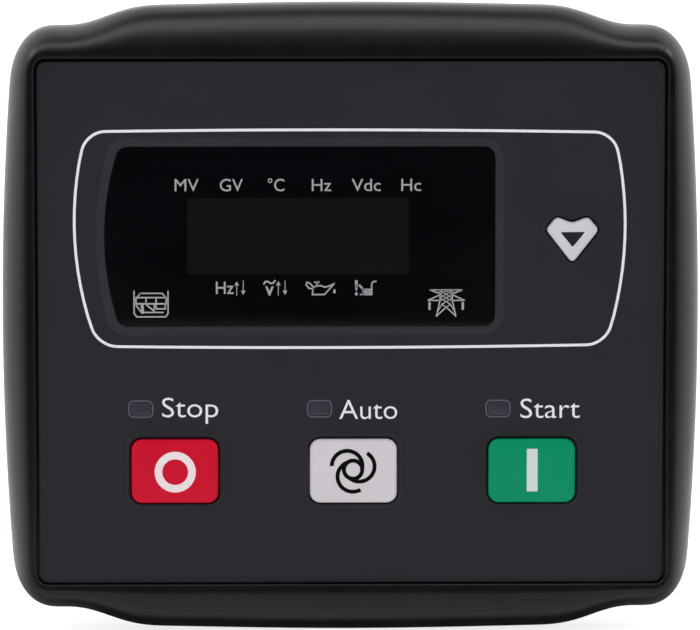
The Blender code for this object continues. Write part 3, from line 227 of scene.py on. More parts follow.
def window_outline(growth=0.0, segments=8):
    """The window, with its left end a shallow arc."""
    left, right = WINDOW_LOW.x + WINDOW_BOW - growth, WINDOW_HIGH.x + growth
    low, high = WINDOW_LOW.z - growth, WINDOW_HIGH.z + growth
    corners = [(left, low), (right, low), (right, high), (left, high)]
    bow = bowed_side((left, high), (left, low), WINDOW_BOW, 12)[:-1]
    radius = WINDOW_CORNER + growth
    return rounded_outline(corners + bow, [radius] * 4 + [0.0] * len(bow), segments)


def scroll_outline(growth=0.0, segments=6):
    """The heart-shaped key about its own centre."""
    low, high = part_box("key_scroll")
    flange, shoulder = 0.8 * MM, 1.7 * MM
    half = (high.x - low.x) / 2 - flange
    top = 6.3 * MM / 2
    lobe = 4.3 * MM / 2
    dip = 0.8 * MM
    corners = [(0.0, -top), (half, top - shoulder), (lobe, top)]
    corners += [(0.0, top - dip), (-lobe, top), (-half, top - shoulder)]
    outward = 0.6 * MM + growth
    notch = max(1.2 * MM - growth, 0.15 * MM)
    return rounded_outline(grown(corners, growth), [outward] * 3 + [notch] + [outward] * 2, segments)


def centre_of(node):
    low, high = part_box(node)
    return (low + high) / 2


def grown_rectangle(size, growth, segments):
    width, height, radius = size
    return rounded_rectangle(width + 2 * growth, height + 2 * growth, radius + growth, segments=segments)


def guide_outline(growth=0.0):
    return grown_rectangle(LIGHT_GUIDE, growth, 5)


def placed(points, centre):
    return [(centre.x + x, centre.z + z) for x, z in points]


KEYS = {name: centre_of(f"key_{name}") for name in ("stop", "auto", "start", "scroll")}
GUIDES = {name: centre_of(f"light_guide_{name}") for name in ("stop", "auto", "start")}


def key_outline(name, growth=0.0):
    return scroll_outline(growth) if name == "scroll" else grown_rectangle(MAIN_KEY, growth, 8)


# Mesh building

def loop(bm, points, y):
    """A closed loop of edges at y."""
    verts = [bm.verts.new((x, y, z)) for x, z in points]
    return [bm.edges.new(pair) for pair in zip(verts, verts[1:] + verts[:1])]


def loft(bm, rings):
    """Rings of matching points, each pulled out of the one before. Gives the first and the last loop of edges."""
    verts = [bm.verts.new(point) for point in rings[0]]
    first = edges = [bm.edges.new(pair) for pair in zip(verts, verts[1:] + verts[:1])]
    for points in rings[1:]:
        pulled = bmesh.ops.extrude_edge_only(bm, edges=edges)["geom"]
        fresh = {item for item in pulled if isinstance(item, bmesh.types.BMVert)}
        ends = [[edge.other_vert(vert) for edge in vert.link_edges] for vert in verts]
        verts = [next(vert for vert in linked if vert in fresh) for linked in ends]
        edges = [bm.edges.get(pair) for pair in zip(verts, verts[1:] + verts[:1])]
        for vert, point in zip(verts, points):
            vert.co = point
    return first, edges


def tube(bm, points, front, rear):
    """The wall of an outline from front to rear. Gives its loop of edges at each end."""
    near, far = loop(bm, points, front), loop(bm, points, rear)
    bmesh.ops.bridge_loops(bm, edges=near + far)
    return near, far


def fill(bm, loops):
    """One flat field between an outer loop and the loops inside it."""
    edges = [edge for edges in loops for edge in edges]
    bmesh.ops.triangle_fill(bm, use_beauty=True, use_dissolve=False, edges=edges, normal=(0.0, -1.0, 0.0))


def plate(bm, outlines, front, rear):
    """A flat sheet with holes. The first outline is the outer edge."""
    fronts, rears = zip(*(tube(bm, points, front, rear) for points in outlines))
    fill(bm, fronts)
    fill(bm, rears)


def slab(bm, points, start, end):
    """A closed outline pulled straight from one y to another. Gives the face at its end."""
    face = bm.faces.new([bm.verts.new((x, start, z)) for x, z in points])
    pulled = bmesh.ops.extrude_face_region(bm, geom=[face])["geom"]
    (face,) = [item for item in pulled if isinstance(item, bmesh.types.BMFace)]
    bmesh.ops.translate(bm, verts=face.verts, vec=(0.0, end - start, 0.0))
    return face


def step(bm, face, inset=0.0, forward=0.0):
    """The face drawn in by the inset and moved towards the front, with a ring of faces left round it."""
    bmesh.ops.inset_region(bm, faces=[face], thickness=inset, use_even_offset=True, use_boundary=True)
    bmesh.ops.translate(bm, verts=face.verts, vec=(0.0, -forward, 0.0))


def rounded_front(bm, face, radius, steps=4):
    """Ends the piece in a quarter round and its flat front face."""
    turns = [math.pi / 2 * i / steps for i in range(steps + 1)]
    for before, after in zip(turns, turns[1:]):
        inset = radius * (math.cos(before) - math.cos(after))
        step(bm, face, inset, radius * (math.sin(after) - math.sin(before)))


def bar(bm, start, end, width, front, depth):
    """A straight stroke with square ends that reach half the width past its points."""
    a, b = Vector(start), Vector(end)
    way = (b - a).normalized() * width / 2
    side = Vector((-way.y, way.x))
    slab(bm, (a - way - side, b + way - side, b + way + side, a - way + side), front, front + depth)


def strokes(bm, points, width, front, depth, close=False):
    """Bars from point to point, each on a level of its own where they cross."""
    level = 0.0004 * MM
    for i, (a, b) in enumerate(zip(points, points[1:] + (points[:1] if close else []))):
        bar(bm, a, b, width, front - level * (i % 3), depth)


def band_arc(bm, centre, radius, width, start, sweep, front, depth, steps=28):
    """A flat curved stroke, spun about its centre."""
    x, z = centre
    inner, outer = radius - width / 2, radius + width / 2
    corners = [(inner, front), (outer, front), (outer, front + depth), (inner, front + depth)]
    turn = Matrix.Rotation(-start, 4, "Y")
    middle = Vector((x, 0.0, z))
    verts = [bm.verts.new(turn @ Vector((r, y, 0.0)) + middle) for r, y in corners]
    face = bm.faces.new(verts)
    way = {"axis": (0.0, -1.0, 0.0), "angle": sweep, "steps": steps}
    bmesh.ops.spin(bm, geom=[face], cent=middle, use_merge=False, use_duplicate=False, **way)


def rod(bm, radius, start, end, centre):
    """A round bar along Y."""
    size = {"radius1": radius, "radius2": radius, "depth": abs(end - start)}
    made = bmesh.ops.create_cone(bm, cap_ends=True, cap_tris=False, segments=24, **size)["verts"]
    bmesh.ops.rotate(bm, verts=made, cent=(0, 0, 0), matrix=Matrix.Rotation(math.pi / 2, 3, "X"))
    bmesh.ops.translate(bm, verts=made, vec=(centre.x, (start + end) / 2, centre.z))


def merge(bm, part):
    """Adds one bmesh to another and frees it."""
    mesh = bpy.data.meshes.new("part")
    part.to_mesh(mesh)
    part.free()
    bm.from_mesh(mesh)
    bpy.data.meshes.remove(mesh)


def finish_piece(name, bm, material, body, replaced=(), slot=None, smooth=35.0):
    """The bmesh as a piece that rides on its body."""
    bmesh.ops.recalc_face_normals(bm, faces=bm.faces)
    mesh = bpy.data.meshes.new(name)
    bm.to_mesh(mesh)
    bm.free()
    mesh.materials.append(material)
    mesh.shade_smooth()
    mesh.set_sharp_from_angle(angle=math.radians(smooth))
    piece = bpy.data.objects.new(name, mesh)
    bpy.context.scene.collection.objects.link(piece)
    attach(piece, body)
    if replaced:
        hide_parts(*replaced)
    return piece


def soften(piece, width):
    """Rounds the sharp edges of a piece."""
    bevel = piece.modifiers.new("Edges", "BEVEL")
    bevel.width = width
    bevel.segments = 2
    bevel.limit_method = "ANGLE"
    bevel.angle_limit = math.radians(50.0)
    bevel.harden_normals = False


def letter_mesh(text, weight=0.0):
    """Letters of the built-in font at size 1, one unit thick."""
    curve = bpy.data.curves.new("letters", "FONT")
    curve.body = text
    curve.size = 1.0
    curve.extrude = 0.5
    curve.offset = weight
    curve.resolution_u = 4
    holder = bpy.data.objects.new("letters", curve)
    bpy.context.scene.collection.objects.link(holder)
    bpy.context.view_layer.update()
    mesh = bpy.data.meshes.new_from_object(holder.evaluated_get(bpy.context.evaluated_depsgraph_get()))
    bpy.data.objects.remove(holder)
    bpy.data.curves.remove(curve)
    return mesh


@functools.lru_cache
def capital_height():
    """Height of a capital H at size 1."""
    mesh = letter_mesh("H")
    heights = [vert.co.y for vert in mesh.vertices]
    bpy.data.meshes.remove(mesh)
    return max(heights) - min(heights)


def lettering(bm, text, left, right, base, height, front, depth, weight=0.0):
    """Solid letters between left and right, with capitals of the given height standing on base."""
    mesh = letter_mesh(text, weight)
    xs = [vert.co.x for vert in mesh.vertices]
    low, high = min(xs), max(xs)
    wide = (right - left) / (high - low)
    tall = height / capital_height()
    across = (wide, 0.0, 0.0, left - low * wide)
    away = (0.0, 0.0, -depth, front + depth / 2)
    mesh.transform(Matrix((across, away, (0.0, tall, 0.0, base), (0.0, 0.0, 0.0, 1.0))))
    bm.from_mesh(mesh)
    bpy.data.meshes.remove(mesh)


def drawn_word(bm, text, left, right, base, top, front, depth, weight):
    """Letters fitted between two sides, a base and a top that are given in units of the drawing of the face."""
    x0, z0 = face_point(left, base)
    x1, z1 = face_point(right, top)
    lettering(bm, text, x0, x1, z0, z1 - z0, front, depth, weight)


# Shader node groups

def new_group(name, inputs, outputs):
    """An empty node group. A tuple as the value of an input makes it a colour, and so does the label Colour."""
    group = bpy.data.node_groups.new(name, "ShaderNodeTree")
    for label, value in inputs.items():
        kind = "NodeSocketColor" if isinstance(value, tuple) else "NodeSocketFloat"
        group.interface.new_socket(name=label, in_out="INPUT", socket_type=kind).default_value = value
    for label in outputs:
        kind = "NodeSocketColor" if label == "Colour" else "NodeSocketFloat"
        group.interface.new_socket(name=label, in_out="OUTPUT", socket_type=kind)
    return group, group.nodes.new("NodeGroupInput").outputs, group.nodes.new("NodeGroupOutput").inputs


def made_once(maker):
    """The node group of the maker's name, which is made where the file has none."""
    return lambda: bpy.data.node_groups.get(maker.__name__) or maker()


def kept(maker):
    """The material of the given name, which is made where the file has none."""
    return lambda name, *values, **settings: bpy.data.materials.get(name) or maker(name, *values, **settings)


def add(tree, kind, inputs=None, **values):
    """A node with its settings and its inputs, each a number, a colour or another node's socket."""
    node = tree.nodes.new(kind)
    for key, value in values.items():
        setattr(node, key, value)
    for key, value in (inputs or {}).items():
        if isinstance(value, bpy.types.NodeSocket):
            tree.links.new(value, node.inputs[key])
        else:
            node.inputs[key].default_value = value
    return node


def maths(tree, operation, a, b=0.0, clamp=False):
    node = add(tree, "ShaderNodeMath", {0: a, 1: b}, operation=operation, use_clamp=clamp)
    return node.outputs[0]


def product(tree, first, *others):
    for other in others:
        first = maths(tree, "MULTIPLY", first, other)
    return first


def total(tree, first, *others):
    for other in others:
        first = maths(tree, "ADD", first, other)
    return first


def remap(tree, value, low, high, to_low=0.0, to_high=1.0, kind="LINEAR"):
    keys = {"Value": value, "From Min": low, "From Max": high, "To Min": to_low, "To Max": to_high}
    return add(tree, "ShaderNodeMapRange", keys, interpolation_type=kind).outputs[0]


def object_place(tree):
    return add(tree, "ShaderNodeTexCoord").outputs["Object"]


def noise(tree, place, scale, detail, distortion=0.0):
    keys = {"Vector": place, "Scale": scale, "Detail": detail, "Distortion": distortion}
    return add(tree, "ShaderNodeTexNoise", keys).outputs[0]


def cells(tree, place, scale, **kind):
    return add(tree, "ShaderNodeTexVoronoi", {"Vector": place, "Scale": scale, "Randomness": 1.0}, **kind).outputs


def link(tree, sockets, **values):
    """Links each value to the socket of its name, where an underscore stands for a space."""
    for label, value in values.items():
        tree.links.new(value, sockets[label.replace("_", " ")])


def mix_colour(tree, factor, a, b, blend="MIX"):
    node = add(tree, "ShaderNodeMix", {"Factor": factor}, data_type="RGBA", blend_type=blend)
    for index, value in ((6, a), (7, b)):
        if isinstance(value, bpy.types.NodeSocket):
            tree.links.new(value, node.inputs[index])
        else:
            node.inputs[index].default_value = value
    return node.outputs[2]


@made_once
def moulded_grain():
    """Spark-eroded moulding grain: fine pits over a slow unevenness."""
    sizes = {"Grain Size": 0.00012, "Unevenness Size": 0.006, "Roughness": 0.4, "Roughness Change": 0.08}
    group, into, out = new_group("moulded_grain", sizes, ("Height", "Roughness", "Tone"))
    place = object_place(group)
    fine = noise(group, place, maths(group, "DIVIDE", 1.0, into["Grain Size"]), 3.0)
    slow = noise(group, place, maths(group, "DIVIDE", 1.0, into["Unevenness Size"]), 4.0)
    change, sparkle = (
        product(group, maths(group, "SUBTRACT", field, 0.5), into["Roughness Change"]) for field in (slow, fine)
    )
    rough = maths(group, "ADD", maths(group, "ADD", into["Roughness"], change), sparkle, clamp=True)
    link(group, out, Height=fine, Roughness=rough, Tone=slow)
    return group


@made_once
def handling_marks():
    """Faint wiped smudges and a few specks of dust."""
    sizes = {"Smudge Size": 0.018, "Dust Size": 0.0016}
    group, into, out = new_group("handling_marks", sizes, ("Smudge", "Dust"))
    place = object_place(group)
    turn = {"Vector": place, "Rotation": (0.0, 0.6, 0.0), "Scale": (1.0, 1.0, 2.6)}
    stretched = add(group, "ShaderNodeMapping", turn).outputs[0]
    wiped = noise(group, stretched, maths(group, "DIVIDE", 1.0, into["Smudge Size"]), 5.0, 0.6)
    specks = cells(group, place, maths(group, "DIVIDE", 1.0, into["Dust Size"]))
    chosen = add(group, "ShaderNodeSeparateColor", {"Color": specks["Color"]}).outputs[0]
    small = remap(group, specks["Distance"], 0.05, 0.02)
    dust = product(group, small, maths(group, "GREATER_THAN", chosen, 0.93))
    link(group, out, Smudge=remap(group, wiped, 0.45, 0.75), Dust=dust)
    return group


@made_once
def printed_ink():
    """Screen-printed ink: a slightly uneven film with a fine mesh in its gloss."""
    inputs = {"Colour": (0.8, 0.8, 0.8, 1.0), "Thin": 0.12}
    group, into, out = new_group("printed_ink", inputs, ("Colour", "Height", "Roughness"))
    place = object_place(group)
    patchy = noise(group, place, 2600.0, 3.0)
    mesh = noise(group, place, 9000.0, 1.0)
    thin = product(group, remap(group, patchy, 0.35, 0.70), into["Thin"])
    darker = mix_colour(group, thin, into["Colour"], (0.04, 0.04, 0.045, 1.0))
    link(group, out, Colour=darker, Height=mesh, Roughness=remap(group, patchy, 0.3, 0.7, 0.42, 0.60))
    return group


@made_once
def plated_metal():
    """Zinc plating: brushed streaks, a cloudy passivated tone and dull spots."""
    inputs = {"Bright": (0.6, 0.6, 0.58, 1.0), "Dull": (0.35, 0.34, 0.30, 1.0)}
    group, into, out = new_group("plated_metal", inputs, ("Colour", "Height", "Roughness"))
    place = object_place(group)
    cloudy = noise(group, place, 700.0, 5.0)
    drawn = add(group, "ShaderNodeMapping", {"Vector": place, "Scale": (1.0, 0.08, 1.0)}).outputs[0]
    streaks = noise(group, drawn, 9000.0, 2.0)
    shade = mix_colour(group, remap(group, cloudy, 0.35, 0.70), into["Bright"], into["Dull"])
    rough = total(group, remap(group, cloudy, 0.3, 0.7, 0.26, 0.42), product(group, streaks, 0.08))
    link(group, out, Colour=shade, Height=streaks, Roughness=rough)
    return group


# Materials

def start_material(name):
    material = bpy.data.materials.new(name)
    material.use_nodes = True
    tree = material.node_tree
    return material, tree, tree.nodes["Principled BSDF"]


def place_group(tree, group, **inputs):
    node = add(tree, "ShaderNodeGroup", node_tree=group)
    for label, value in inputs.items():
        node.inputs[label.replace("_", " ")].default_value = value
    return node.outputs


def bump(tree, shader, height, strength, distance):
    node = add(tree, "ShaderNodeBump", {"Height": height, "Strength": strength, "Distance": distance})
    tree.links.new(node.outputs[0], shader.inputs["Normal"])


@kept
def moulded(
    name, tint, roughness, grain=0.00012, strength=0.25, change=0.08, lighter=1.25, dust=0.25, coat=0.0, mirror=0.5
):
    """Moulded plastic in one colour: grain, a slow change of tone, smudges and dust."""
    material, tree, shader = start_material(name)
    surface = place_group(tree, moulded_grain(), Grain_Size=grain, Roughness=roughness, Roughness_Change=change)
    marks = place_group(tree, handling_marks())
    base = (*tint, 1.0)
    light = (*(min(value * lighter + 0.0004, 1.0) for value in tint), 1.0)
    toned = mix_colour(tree, remap(tree, surface["Tone"], 0.35, 0.65), base, light)
    dusty = mix_colour(tree, product(tree, marks["Dust"], dust), toned, (0.30, 0.29, 0.27, 1.0))
    rough = maths(tree, "ADD", surface["Roughness"], product(tree, marks["Smudge"], 0.05), clamp=True)
    link(tree, shader.inputs, Base_Color=dusty, Roughness=rough)
    shader.inputs["Coat Weight"].default_value = coat
    shader.inputs["Coat Roughness"].default_value = 0.12
    shader.inputs["Specular IOR Level"].default_value = mirror
    bump(tree, shader, surface["Height"], strength, 0.00002)
    return material


@kept
def ink(name, tint, thin=0.12, mirror=0.5):
    """Printed ink in one colour."""
    material, tree, shader = start_material(name)
    film = place_group(tree, printed_ink(), Colour=(*tint, 1.0), Thin=thin)
    link(tree, shader.inputs, Base_Color=film["Colour"], Roughness=film["Roughness"])
    shader.inputs["Specular IOR Level"].default_value = mirror
    bump(tree, shader, film["Height"], 0.12, 0.00001)
    return material


@kept
def metal(name, bright, dull):
    """Plated metal between a bright and a dull tone."""
    material, tree, shader = start_material(name)
    plating = place_group(tree, plated_metal(), Bright=(*bright, 1.0), Dull=(*dull, 1.0))
    link(tree, shader.inputs, Base_Color=plating["Colour"], Roughness=plating["Roughness"])
    shader.inputs["Metallic"].default_value = 1.0
    bump(tree, shader, plating["Height"], 0.25, 0.000015)
    return material


def zinc():
    return metal("zinc_plated_steel", (0.62, 0.62, 0.60), (0.40, 0.39, 0.35))


@kept
def smoked(name, alpha):
    """Smoked lens with faint smears and dust."""
    material, tree, shader = start_material(name)
    marks = place_group(tree, handling_marks(), Smudge_Size=0.022, Dust_Size=0.0026)
    clean, smeared = (0.0021, 0.0020, 0.0032, 1.0), (0.0034, 0.0032, 0.0048, 1.0)
    toned = mix_colour(tree, product(tree, marks["Smudge"], 0.5), clean, smeared)
    dusty = mix_colour(tree, product(tree, marks["Dust"], 0.04), toned, (0.3, 0.3, 0.3, 1.0))
    link(tree, shader.inputs, Base_Color=dusty, Roughness=remap(tree, marks["Smudge"], 0.0, 1.0, 0.07, 0.13))
    shader.inputs["Alpha"].default_value = alpha
    return material


@kept
def laminate(name):
    """Green solder mask over copper tracks, with bare pads."""
    material, tree, shader = start_material(name)
    place = object_place(tree)
    tracks = cells(tree, place, 240.0, distance="MANHATTAN", feature="F1")["Distance"]
    line = remap(tree, maths(tree, "FRACT", product(tree, tracks, 7.0)), 0.52, 0.56)
    via = remap(tree, cells(tree, place, 330.0)["Distance"], 0.14, 0.11)
    grain = place_group(tree, moulded_grain(), Grain_Size=0.0002, Roughness=0.34, Roughness_Change=0.1)
    mask = mix_colour(tree, line, (0.006, 0.070, 0.026, 1.0), (0.012, 0.135, 0.048, 1.0))
    board = mix_colour(tree, via, mask, (0.45, 0.44, 0.40, 1.0))
    link(tree, shader.inputs, Base_Color=board, Roughness=grain["Roughness"])
    bump(tree, shader, line, 0.3, 0.00003)
    return material


def repaint(node, material):
    """Gives every slot of a CAD node the material."""
    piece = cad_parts[node]
    if not piece.material_slots:
        piece.data.materials.append(material)
    for slot in piece.material_slots:
        slot.material = material


# Front bezel

def wave_reach(s):
    """Where the S curve starts and how long it is, with a long soft end towards the middle."""
    inward, outward = 0.36 * s.wave_run, 0.12 * s.wave_run
    return s.wave_flat / 2 - inward, s.wave_run + inward + outward


def wave(x):
    """How far the top and bottom edges stand past the shoulders at x."""
    distance, s = abs(x), bpy.context.scene.controller_bezel
    start, run = wave_reach(s)
    crown = s.wave_crown * max(1 - (distance / (start + 0.75 * run)) ** 2, 0.0) ** 2
    t = min(max((distance - start) / run, 0.0), 1.0) ** 1.27
    return crown + s.wave_rise * (1 - t * t * t * (10 - 15 * t + 6 * t * t))


def framed_ring(half_size, reach, climb, y, swell=0.0, corner_steps=12, side_steps=14):
    """A rounded rectangle at y whose points match those of every other such ring."""
    s = bpy.context.scene.controller_bezel
    right, top = half_size
    straight = (BEZEL_HIGH.x - s.side_bow) - s.corner_reach
    start, run = wave_reach(s)
    places = [start * i / 6 for i in range(6)] + [start + run * i / 16 for i in range(17)]
    shares = [min(place / straight, 0.99) for place in places] + [1.0]
    shares = [-value for value in reversed(shares[1:])] + shares
    rises = [2 * i / side_steps - 1 for i in range(side_steps + 1)]
    across, up = right - reach, top - climb

    def full(value):
        """A sine or cosine raised a little, which makes the corner of a swelling ring fuller."""
        return math.copysign(abs(value) ** (1 - 0.16 * swell), value)

    def corner(x, z, first):
        turns = [first + math.pi / 2 * i / corner_steps for i in range(1, corner_steps)]
        return [(x + reach * full(math.cos(turn)), z + climb * full(math.sin(turn))) for turn in turns]

    plain = []
    for way, first in ((1, -math.pi / 2), (-1, math.pi / 2)):
        plain += [(way * value * across, -way * top) for value in shares]
        plain += corner(way * across, -way * up, first)
        plain += [(way * right, way * rise * up) for rise in rises]
        plain += corner(way * across, way * up, first + math.pi / 2)
    points = []
    for x, z in plain:
        beside, above = x / right, z / top
        bow = swell * s.side_bow * (1 - above**2) * beside
        points.append((x + bow, y, z + swell * wave(x) * above))
    return points


# The rim's section, as shares inwards and forwards: over the nose to the crest, down the inner slope, over the lip
CREST = 0.62
NOSE = ((0.0, 0.316), (0.0, 0.632), (0.358, 0.984), (CREST, 1.0))
SLOPE = ((CREST, 1.0), (0.70, 1.0), (0.80, 0.996), (0.93, 0.984))
LIP = ((0.93, 0.984), (0.97, 0.980), (1.0, 0.975), (1.0, 0.945))


def bezier(controls, steps):
    """Pairs along the curve of four controls."""
    return [(point[0], point[1]) for point in interpolate_bezier(*((*pair, 0.0) for pair in controls), steps)]


def rim_section(s):
    """The rim from its outer edge at the rear to the lip of the recess, each place with its share of the width."""
    section = [(0.0, 0.0)] + bezier(NOSE, 2 * s.section_steps) + bezier(SLOPE, 5)[1:] + bezier(LIP, 6)[1:]
    for inward, forward in section:
        if inward <= CREST:
            yield s.crest_share * inward / CREST, forward
        else:
            yield s.crest_share + (1 - s.crest_share) * (inward - CREST) / (1 - CREST), forward


class CONTROLLER_OT_bezel(bpy.types.Operator):
    """Front bezel: bull-nosed rim with its wave and bowed sides, recess, openings and bosses"""

    bl_idname = "controller.bezel"
    bl_label = "Front Bezel"

    def execute(self, context):
        s = context.scene.controller_bezel
        housing_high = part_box("rear_housing")[1]
        rear, channel_floor = -0.5 * MM, -1.8 * MM
        floor = OVERLAY_HIGH.y + GAP
        plate_rear = floor + 2.0 * MM
        channel_inner, channel_outer = 1.4 * MM, 5.4 * MM
        face = (BEZEL_HIGH.x - s.side_bow, BEZEL_HIGH.z - s.wave_rise - s.wave_crown)
        recess = (OVERLAY_HIGH.x + s.groove, OVERLAY_HIGH.z + s.groove)
        corner = 1.2 * MM + s.groove

        def channel(grow, y):
            radius = 3.3 * MM + grow
            return framed_ring((housing_high.x + GAP + grow, housing_high.z + GAP + grow), radius, radius, y)

        edge_ring = framed_ring(face, s.corner_reach, s.corner_rise, 0.0, 1.0)
        lip_ring = framed_ring(recess, corner, corner, 0.0)

        def rim(share, y):
            """A ring at a share of the way from the outer edge to the lip of the recess."""
            points = (Vector(start).lerp(Vector(end), share) for start, end in zip(edge_ring, lip_ring))
            return [(point.x, y, point.z) for point in points]

        bm = bmesh.new()
        rings = [channel(0.0, plate_rear), channel(0.0, rear)]
        rings += [channel(channel_inner, rear), channel(channel_inner, channel_floor)]
        rings += [channel(channel_outer, channel_floor), channel(channel_outer, rear)]
        rings += [rim(share, rear - forward * (rear - BEZEL_LOW.y)) for share, forward in rim_section(s)]
        rings += [rim(1.0, floor)]
        rear_edge, front_edge = loft(bm, rings)
        fronts, rears = [front_edge], [rear_edge]
        outlines = [placed(key_outline(name, GAP), centre) for name, centre in KEYS.items()]
        outlines += [placed(guide_outline(0.2 * MM), centre) for centre in GUIDES.values()]
        for outline in outlines:
            near, far = tube(bm, outline, floor, plate_rear)
            fronts.append(near)
            rears.append(far)
        pocket = floor + 0.6 * MM
        low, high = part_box("light_baffle")
        size = high - low
        opening = rectangle(size.x + 2 * GAP, size.z + 2 * GAP, (high.x + low.x) / 2, (high.z + low.z) / 2)
        edge, ledge = tube(bm, window_outline(GAP), floor, pocket)
        through, behind = tube(bm, opening, pocket, plate_rear)
        fill(bm, [ledge, through])
        fill(bm, fronts + [edge])
        fill(bm, rears + [behind])
        root = plate_rear - 0.5 * MM
        for i in range(1, 5):
            rod(bm, 2.8 * MM, root, -3.3 * MM, centre_of(f"housing_screw_{i}"))
            rod(bm, 2.4 * MM, root, -0.8 * MM, centre_of(f"board_screw_{i}"))
        black = moulded("bezel_moulding", s.black, s.gloss, grain=0.00016, strength=0.07, change=0.04, lighter=1.3)
        finish_piece("front_bezel_moulding", bm, black, "controller", ("front_bezel",), "bezel_black")
        return {"FINISHED"}


# Overlay, window and print

class CONTROLLER_OT_overlay(bpy.types.Operator):
    """Charcoal overlay film with its openings, and lighter film that paints highlights: a band round the window where
    a chamfer would catch the light, and thin rings round the keys
    """

    bl_idname = "controller.overlay"
    bl_label = "Overlay"

    def execute(self, context):
        s = context.scene.controller_face
        front, rear = OVERLAY_LOW.y, OVERLAY_HIGH.y
        outlines = [rounded_rectangle(2 * OVERLAY_HIGH.x - 0.1 * MM, 2 * OVERLAY_HIGH.z, 1.2 * MM, 0.0, -0.13 * MM)]
        outlines += [window_outline(0.06 * MM)]
        outlines += [placed(key_outline(name, 0.26 * MM), centre) for name, centre in KEYS.items()]
        outlines += [placed(guide_outline(0.05 * MM), centre) for centre in GUIDES.values()]
        bm = bmesh.new()
        plate(bm, outlines, front, rear)
        grain = {"grain": 0.00010, "change": 0.05}
        film = moulded(
            "overlay_film", s.charcoal, s.film_roughness, strength=0.30, lighter=1.06, dust=0.10, mirror=0.3, **grain
        )
        piece = finish_piece("overlay_film", bm, film, "controller", ("front_overlay",), "overlay_charcoal")
        soften(piece, 0.07 * MM)
        # Painted highlight: a band of lighter film round the window stands for a chamfer catching the light.
        bm = bmesh.new()
        plate(bm, [window_outline(s.border_width), window_outline(0.10 * MM)], front - 0.015 * MM, front + SINK)
        # Painted highlight: a thin ring of the same lighter film round each key stands for the lit edge of a raised
        # ring.
        for name, centre in KEYS.items():
            band = [placed(key_outline(name, grow), centre) for grow in (0.72 * MM, 0.55 * MM)]
            plate(bm, band, front - s.ink_height, front + SINK)
        # The charcoal made lighter for the painted highlights.
        lighter = tuple(value * 1.32 for value in s.charcoal)
        band = moulded("window_band", lighter, 0.50, strength=0.2, lighter=1.05, dust=0.1, **grain)
        finish_piece("window_band", bm, band, "controller", slot="overlay_charcoal")
        return {"FINISHED"}


class CONTROLLER_OT_window(bpy.types.Operator):
    """Smoked display window with a bowed left end"""

    bl_idname = "controller.window"
    bl_label = "Display Window"

    def execute(self, context):
        bm = bmesh.new()
        edge = 0.06 * MM
        top = slab(bm, window_outline(), WINDOW_HIGH.y, WINDOW_LOW.y + edge)
        rounded_front(bm, top, edge, 2)
        lens = smoked("smoked_lens", context.scene.controller_face.lens_alpha)
        finish_piece("window_lens", bm, lens, "controller", ("display_window",), "window_smoked")
        return {"FINISHED"}


DRAWING_MIDDLE = (351.0, 321.6)
DRAWING_UNIT = (0.1359 * MM, 0.1369 * MM)


def face_point(across, down):
    """Where a place on the drawing of the face, in its own units from the top left, lies on the front."""
    return (across - DRAWING_MIDDLE[0]) * DRAWING_UNIT[0], (DRAWING_MIDDLE[1] - down) * DRAWING_UNIT[1]


class CONTROLLER_OT_frame_line(bpy.types.Operator):
    """White line that frames the window and the scroll key"""

    bl_idname = "controller.frame_line"
    bl_label = "Frame Line"

    def execute(self, context):
        s = context.scene.controller_face
        left_high, right_high = face_point(87.0, 131.6), face_point(613.0, 132.8)
        left_low, right_low = face_point(98.0, 345.2), face_point(605.5, 344.2)
        sides = (
            (left_low, right_low, 0.28 * MM),
            (right_low, right_high, 2.05 * MM),
            (right_high, left_high, 0.30 * MM),
            (left_high, left_low, 2.32 * MM),
        )
        outline, radii = [], []
        for start, end, bow in sides:
            outline += [start] + bowed_side(start, end, bow, 14)[:-1]
            radii += [2.6 * MM] + [0.0] * 13
        outer = smooth_corners(outline, radii)
        half = s.line_width / 2
        bm = bmesh.new()
        plate(bm, [grown(outer, half), grown(outer, -half)], FACE - s.ink_height, FACE + SINK)
        finish_piece("frame_line", bm, ink("legend_ink", s.ink), "controller")
        return {"FINISHED"}


def smooth_corners(points, radii, segments=10):
    """An outline of many points with an arc at each marked corner, cut back over the points beside it."""
    count = len(points)
    arcs, cut = {}, set()
    for i, radius in enumerate(radii):
        if radius <= 0:
            continue
        here = Vector(points[i])
        clear = [(Vector(point) - here).length >= radius * 1.02 for point in points]
        cut |= {j for j in range(count) if not clear[j]}
        ends = []
        for way in (-1, 1):
            beside = next(j for j in ((i + way * k) % count for k in range(1, count)) if clear[j])
            ends.append(here + (Vector(points[beside]) - here).normalized() * radius)
        start, end = ends
        arcs[i] = bezier((start, start.lerp(here, 0.56), end.lerp(here, 0.56), end), segments)
    result = []
    for i, point in enumerate(points):
        result += arcs[i] if i in arcs else [] if i in cut else [point]
    return result


UPPER_SIGNS = (
    ("MV", 175.2, 199.2),
    ("GV", 220.2, 243.2),
    ("°C", 268.0, 284.6),
    ("Hz", 311.8, 331.2),
    ("Vdc", 351.6, 380.6),
    ("Hc", 401.0, 420.8),
)


